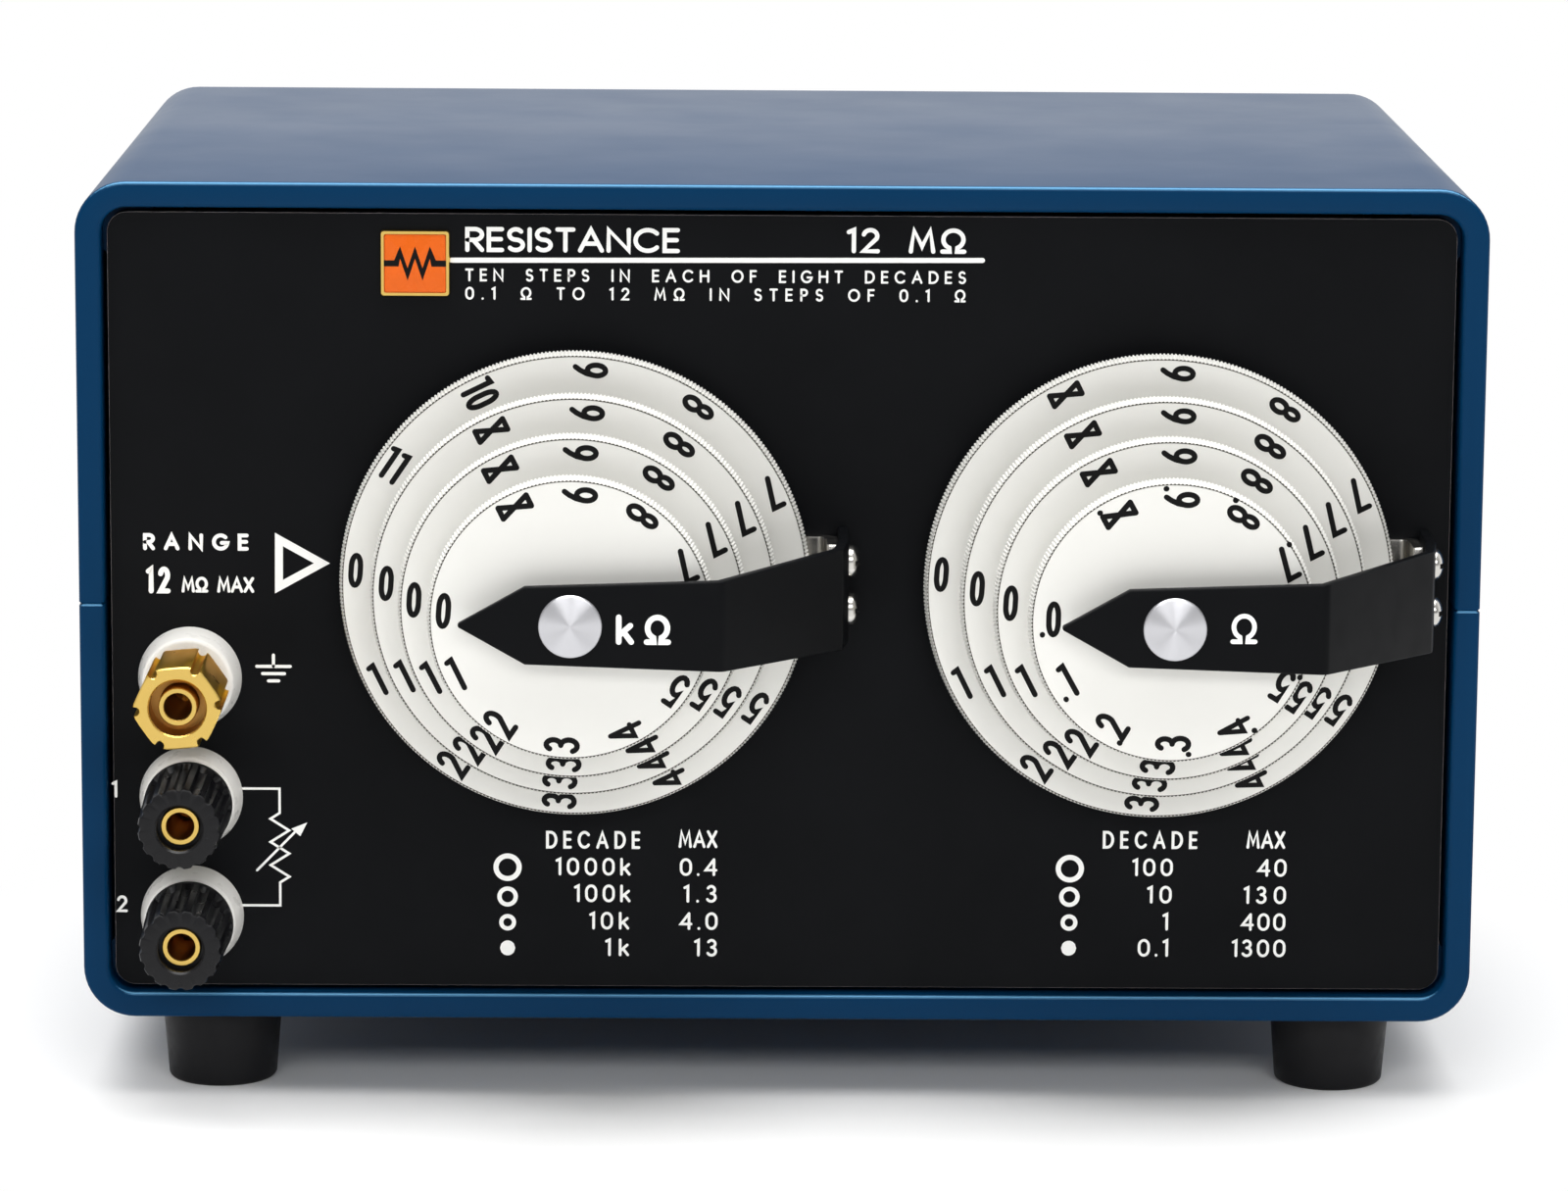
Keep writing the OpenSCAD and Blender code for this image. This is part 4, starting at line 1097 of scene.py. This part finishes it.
def badge():
    """A brass frame around an enamel tile, and the zigzag on it."""
    low, high = box("badge_plate")
    rim = 0.55
    tile_edge = rim + 0.1
    tile_r = 0.3
    frame_r = 0.5
    tile_y = low.y + 0.14
    mark_w = 0.95
    step = 1.15
    swing = 1.7
    centre = (low + high) / 2

    def ring(inset, r, y):
        w = (high.x - low.x) / 2 - inset
        h = (high.z - low.z) / 2 - inset
        outline = rounded([(u * w, v * h, r) for u, v in CORNERS], 4)
        return [Vector((centre.x + u, y, centre.z + v)) for u, v in outline]

    shape = Shape()
    loft(shape, [ring(0, frame_r, high.y), ring(0, frame_r, low.y + 0.2), ring(0.12, 0.45, low.y),
                 ring(rim, tile_r, low.y), ring(tile_edge, tile_r, low.y + 0.3),
                 ring(tile_edge, tile_r, high.y)], wrap=True)
    piece("badge_frame", shape, brass, ["badge_plate"])
    tile = Shape()
    loft(tile, [ring(tile_edge, tile_r, high.y), ring(tile_edge, tile_r, low.y + 0.2),
                ring(rim + 0.4, tile_r, tile_y)])
    piece("badge_enamel", tile, orange_enamel)
    mark = Shape()
    bends = [(-4, 0), (-2.5, 0), (-2, 1), (-1, -1), (0, 1), (1, -1), (2, 1), (2.5, 0), (4, 0)]
    zigzag = [(centre.x + u * step, centre.z + v * swing) for u, v in bends]
    ribbon(mark, zigzag, mark_w, on_face(tile_y))
    piece("badge_mark", mark, black_ink)


badge()


# Printing on the panel and the straps


def panel_printing():
    """White lines and words; each line of words has a base, a height, a stroke and two ends."""
    ink = Shape()
    place = on_face(panel_front)
    page = (ink, place)

    def line(points, width, closed=False):
        ribbon(ink, points, width, place, closed)

    # The heading over its rule
    left_end = -49.0
    right_end = 28.3
    write(page, "RESISTANCE", 133.85, 3.9, 0.68, left_end, -15.9, squeeze=1.3)
    write(page, "12 MΩ", 134.0, 3.95, 0.68, 9.8, right_end, squeeze=1.2)
    line([(-51.1, 132.56), (30.8, 133.0)], 0.78)
    write(page, "TEN STEPS IN EACH OF EIGHT DECADES", 129.3, 2.0, 0.33, left_end, right_end)
    write(page, "0.1 Ω TO 12 MΩ IN STEPS OF 0.1 Ω", 126.45, 2.0, 0.33, left_end, right_end)

    # The range and the arrowhead that points at the dials
    write(page, "RANGE", 86.9, 2.7, 0.6, -99.1, -82.7, squeeze=1.1)
    write(page, "12", 80.08, 4.25, 0.8, -98.73, -94.9, squeeze=0.6)
    write(page, "MΩ MAX", 80.25, 2.5, 0.48, -93.2, -81.9, squeeze=0.9, word=0.4)
    line([(-78.0, 88.7), (-78.05, 81.25), (-71.35, 84.98)], 1.25, True)

    # The posts: an earth sign, the post numbers and a variable resistor
    earth_x = -79.0
    line([(earth_x, 70.4), (earth_x, 68.6)], 0.5)
    for n, half in enumerate((2.6, 1.7, 0.8)):
        line([(earth_x - half, 68.6 - 1.15 * n), (earth_x + half, 68.6 - 1.15 * n)], 0.5)
    for label, x, z in (("1", -103.66, 48.9), ("2", -103.1, 30.5)):
        write(page, label, z - 1.35, 2.7, 0.45, left=x - 0.8)
    post_edge = -84.2
    turn_x = -78.2
    zig = 1.45
    top = posts["terminal_1"].z + 1.35
    bottom = posts["terminal_2"].z + 1.65
    first = top - 3.9
    pitch = (first - bottom - 3.7) / 6
    wire = [(post_edge, top), (turn_x, top), (turn_x, first)]
    wire += [(turn_x + (zig if i % 2 else -zig), first - pitch * (i + 0.5)) for i in range(6)]
    wire += [(turn_x, first - 6 * pitch), (turn_x, bottom), (post_edge, bottom)]
    line(wire, 0.38)
    line([(-81.8, 36.0), (-75.9, 42.1)], 0.38)
    head = [(-76.4, 42.7), (-75.0, 41.5), (-73.9, 43.7)]
    loft(ink, [[place(x, z, lift) for x, z in head] for lift in (-ink_sink, 1.5 * ink_lift)])

    # The two tables: a ring for each dial, its step and its limit
    rings = ((1.82, 0.8), (1.28, 0.67), (1.0, 0.65))
    dot_w = 2.4
    left_rows = (
        (35.4, ("1000k", -35.0, -23.2), ("0.4", -15.5, -9.6), 36.67),
        (31.1, ("100k", -32.1, -23.2), ("1.3", -14.9, -9.6), 31.95),
        (26.7, ("10k", -29.7, -23.4), ("4.0", -15.5, -9.5), 27.8),
        (22.4, ("1k", -27.2, -23.4), ("13", -13.2, -9.5), 23.65))
    right_rows = (
        (35.7, ("100", 55.6, 62.0), ("40", 75.3, 79.9), 36.85),
        (31.3, ("10", 58.0, 61.9), ("130", 73.2, 79.9), 32.3),
        (26.95, ("1", 60.5, None), ("400", 72.9, 79.9), 28.15),
        (22.7, ("0.1", 56.7, 61.5), ("1300", 71.5, 80.0), 24.0))
    row_h = 2.85
    head_squeeze = 0.78
    for rows, mark_x, heads in (
            (left_rows, -42.52, (("DECADE", -36.5, -21.7, 39.7), ("MAX", -15.7, -9.6, 39.9))),
            (right_rows, 45.8, (("DECADE", 50.9, 65.8, 40.1), ("MAX", 73.5, 79.6, 40.2)))):
        for text, left, right, base in heads:
            write(page, text, base, row_h, 0.45, left, right, squeeze=head_squeeze)
        for n, (base, step, limit, mark_z) in enumerate(rows):
            for text, left, right in (step, limit):
                write(page, text, base, row_h, 0.43, left, right)
            if n < len(rings):
                r, width = rings[n]
                line(arc(mark_x, mark_z, r, r, 0, 350, 35), width, True)
            else:
                line([(mark_x, mark_z), (mark_x, mark_z + ink_dot)], dot_w)
    piece("panel_printing", ink, white_ink)


def strap_printing():
    """The unit of each stack, on its strap."""
    ink = Shape()
    page = (ink, on_face(box("cursor_strap_left")[0].y))
    base = axes["left"].z - 2.75
    write(page, "kΩ", base, 4.6, 0.85, axes["left"].x + 6.85, axes["left"].x + 15.1)
    write(page, "Ω", base + 0.6, 4.6, 0.7, axes["right"].x + 8.3)
    piece("strap_printing", ink, white_ink)


panel_printing()
strap_printing()


# Nodes that keep their CAD shape

dress(brass, "post_nuts", "panel_bushings", "bushing_nuts", "contact_studs")
dress(brass, *(f"{post}_clamp_washer" for post in POSTS))
dress(nickel, "solder_lugs")
dress(steel, "tie_rods", "rear_screws", "foot_screws", "bracket_screws", "switch_rods", "rod_nuts")
dress(steel, "wafer_spacers", "detent_springs")
for side in SIDES:
    dress(steel, *(f"shaft_{side}_{k}" for k in DECKS))
    dress(rotor_black, *(f"rotor_{side}_{k}" for k in DECKS))
dress(wafer_brown, "switch_wafers")
dress(resistor_green, "resistors")
dress(lead_red, "hookup_leads")


# The stage


def shows_background(tree):
    """One for rays that should meet the white background: those of the camera, mirrors and glass."""
    rays = new_node(tree, "LightPath").outputs
    seen = math_node(tree, "MAXIMUM", rays["Is Camera Ray"], rays["Is Glossy Ray"])
    return math_node(tree, "MAXIMUM", seen, rays["Is Transmission Ray"])


def floor():
    """A pale floor that keeps the shadow near the object and turns plain white further out."""
    half = 5.0
    floor_colour = (0.96, 0.96, 0.96, 1)
    white = (1, 1, 1, 1)
    white_from = 0.09
    white_full = 0.175
    squeeze = (1, 1.2, 1)
    mesh = bpy.data.meshes.new("floor")
    mesh.from_pydata([(u * half, v * half, 0) for u, v in CORNERS], [], [(0, 1, 2, 3)])
    obj = put("floor", mesh)
    mat = bpy.data.materials.new("floor_white")
    mat.use_nodes = True
    tree = mat.node_tree
    tree.nodes.clear()
    place = new_node(tree, "TexCoord").outputs["Object"]
    squash = new_node(tree, "Mapping", Vector=place, Scale=squeeze)
    distance = new_node(tree, "VectorMath", squash.outputs["Vector"], operation="LENGTH")
    far = new_node(tree, "MapRange", Value=distance.outputs["Value"], From_Min=white_from,
                   From_Max=white_full)
    far.interpolation_type = "SMOOTHSTEP"
    share = math_node(tree, "MULTIPLY", far.outputs["Result"], shows_background(tree))
    matt = new_node(tree, "BsdfDiffuse", Color=floor_colour)
    glow = new_node(tree, "Emission", Color=white)
    mix = new_node(tree, "MixShader", share, matt.outputs["BSDF"], glow.outputs["Emission"])
    new_node(tree, "OutputMaterial", Surface=mix.outputs["Shader"])
    mesh.materials.append(mat)


def area_light(name, place, aim, size, power):
    """A rectangular lamp, in metres and watts, that faces a point."""
    data = bpy.data.lights.new(name, "AREA")
    data.shape = "RECTANGLE"
    data.size, data.size_y = size
    data.energy = power
    obj = put(name, data)
    obj.location = place
    obj.rotation_mode = "QUATERNION"
    obj.rotation_quaternion = (Vector(aim) - Vector(place)).to_track_quat("-Z", "Y")


def lights():
    """A large lamp above the object and two small ones in front of it."""
    aim = (0, 0, 0.07)
    area_light("top_light", (-0.05, -0.1, 1.3), aim, (1.2, 1.0), 23)
    area_light("left_light", (-0.3, -1.2, 0.66), aim, (0.5, 0.3), 2.4)
    area_light("right_light", (0.35, -1.2, 0.66), aim, (0.6, 0.35), 3.2)


def surroundings():
    """A white studio that is dim on the camera's side, and softer as light than it looks."""
    light_share = 0.67
    dim = 0.25
    dim_y = -0.7
    bright_y = 0.3
    world = bpy.data.worlds.new("studio")
    bpy.context.scene.world = world
    world.use_nodes = True
    tree = world.node_tree
    tree.nodes.clear()
    way = new_node(tree, "SeparateXYZ", new_node(tree, "TexCoord").outputs["Generated"])
    shade = new_node(tree, "MapRange", Value=way.outputs["Y"], From_Min=dim_y, From_Max=bright_y, To_Min=dim,
                     To_Max=1.0)
    soft, white = [new_node(tree, "Background", Color=shade.outputs["Result"], Strength=strength)
                   for strength in (light_share, 1.0)]
    mix = new_node(tree, "MixShader", shows_background(tree), soft.outputs["Background"],
                   white.outputs["Background"])
    new_node(tree, "OutputWorld", Surface=mix.outputs["Shader"])


def camera():
    """A long lens a metre in front of the panel, a little to the left and above."""
    place = Vector((-11.8, -1011.4, 258.6)) * MM
    yaw = radians(0.736)
    tilt = radians(90 - 10.505)
    roll = radians(0.431)
    turn = Matrix.Rotation(-yaw, 4, "Z") @ Matrix.Rotation(tilt, 4, "X")
    data = bpy.data.cameras.new("camera")
    data.lens = 144.14
    data.sensor_width = 36
    data.sensor_fit = "HORIZONTAL"
    obj = put("camera", data)
    obj.matrix_world = Matrix.Translation(place) @ turn @ Matrix.Rotation(roll, 4, "Z")
    bpy.context.scene.camera = obj


floor()
lights()
surroundings()
camera()
bpy.context.scene.view_settings.view_transform = "Standard"
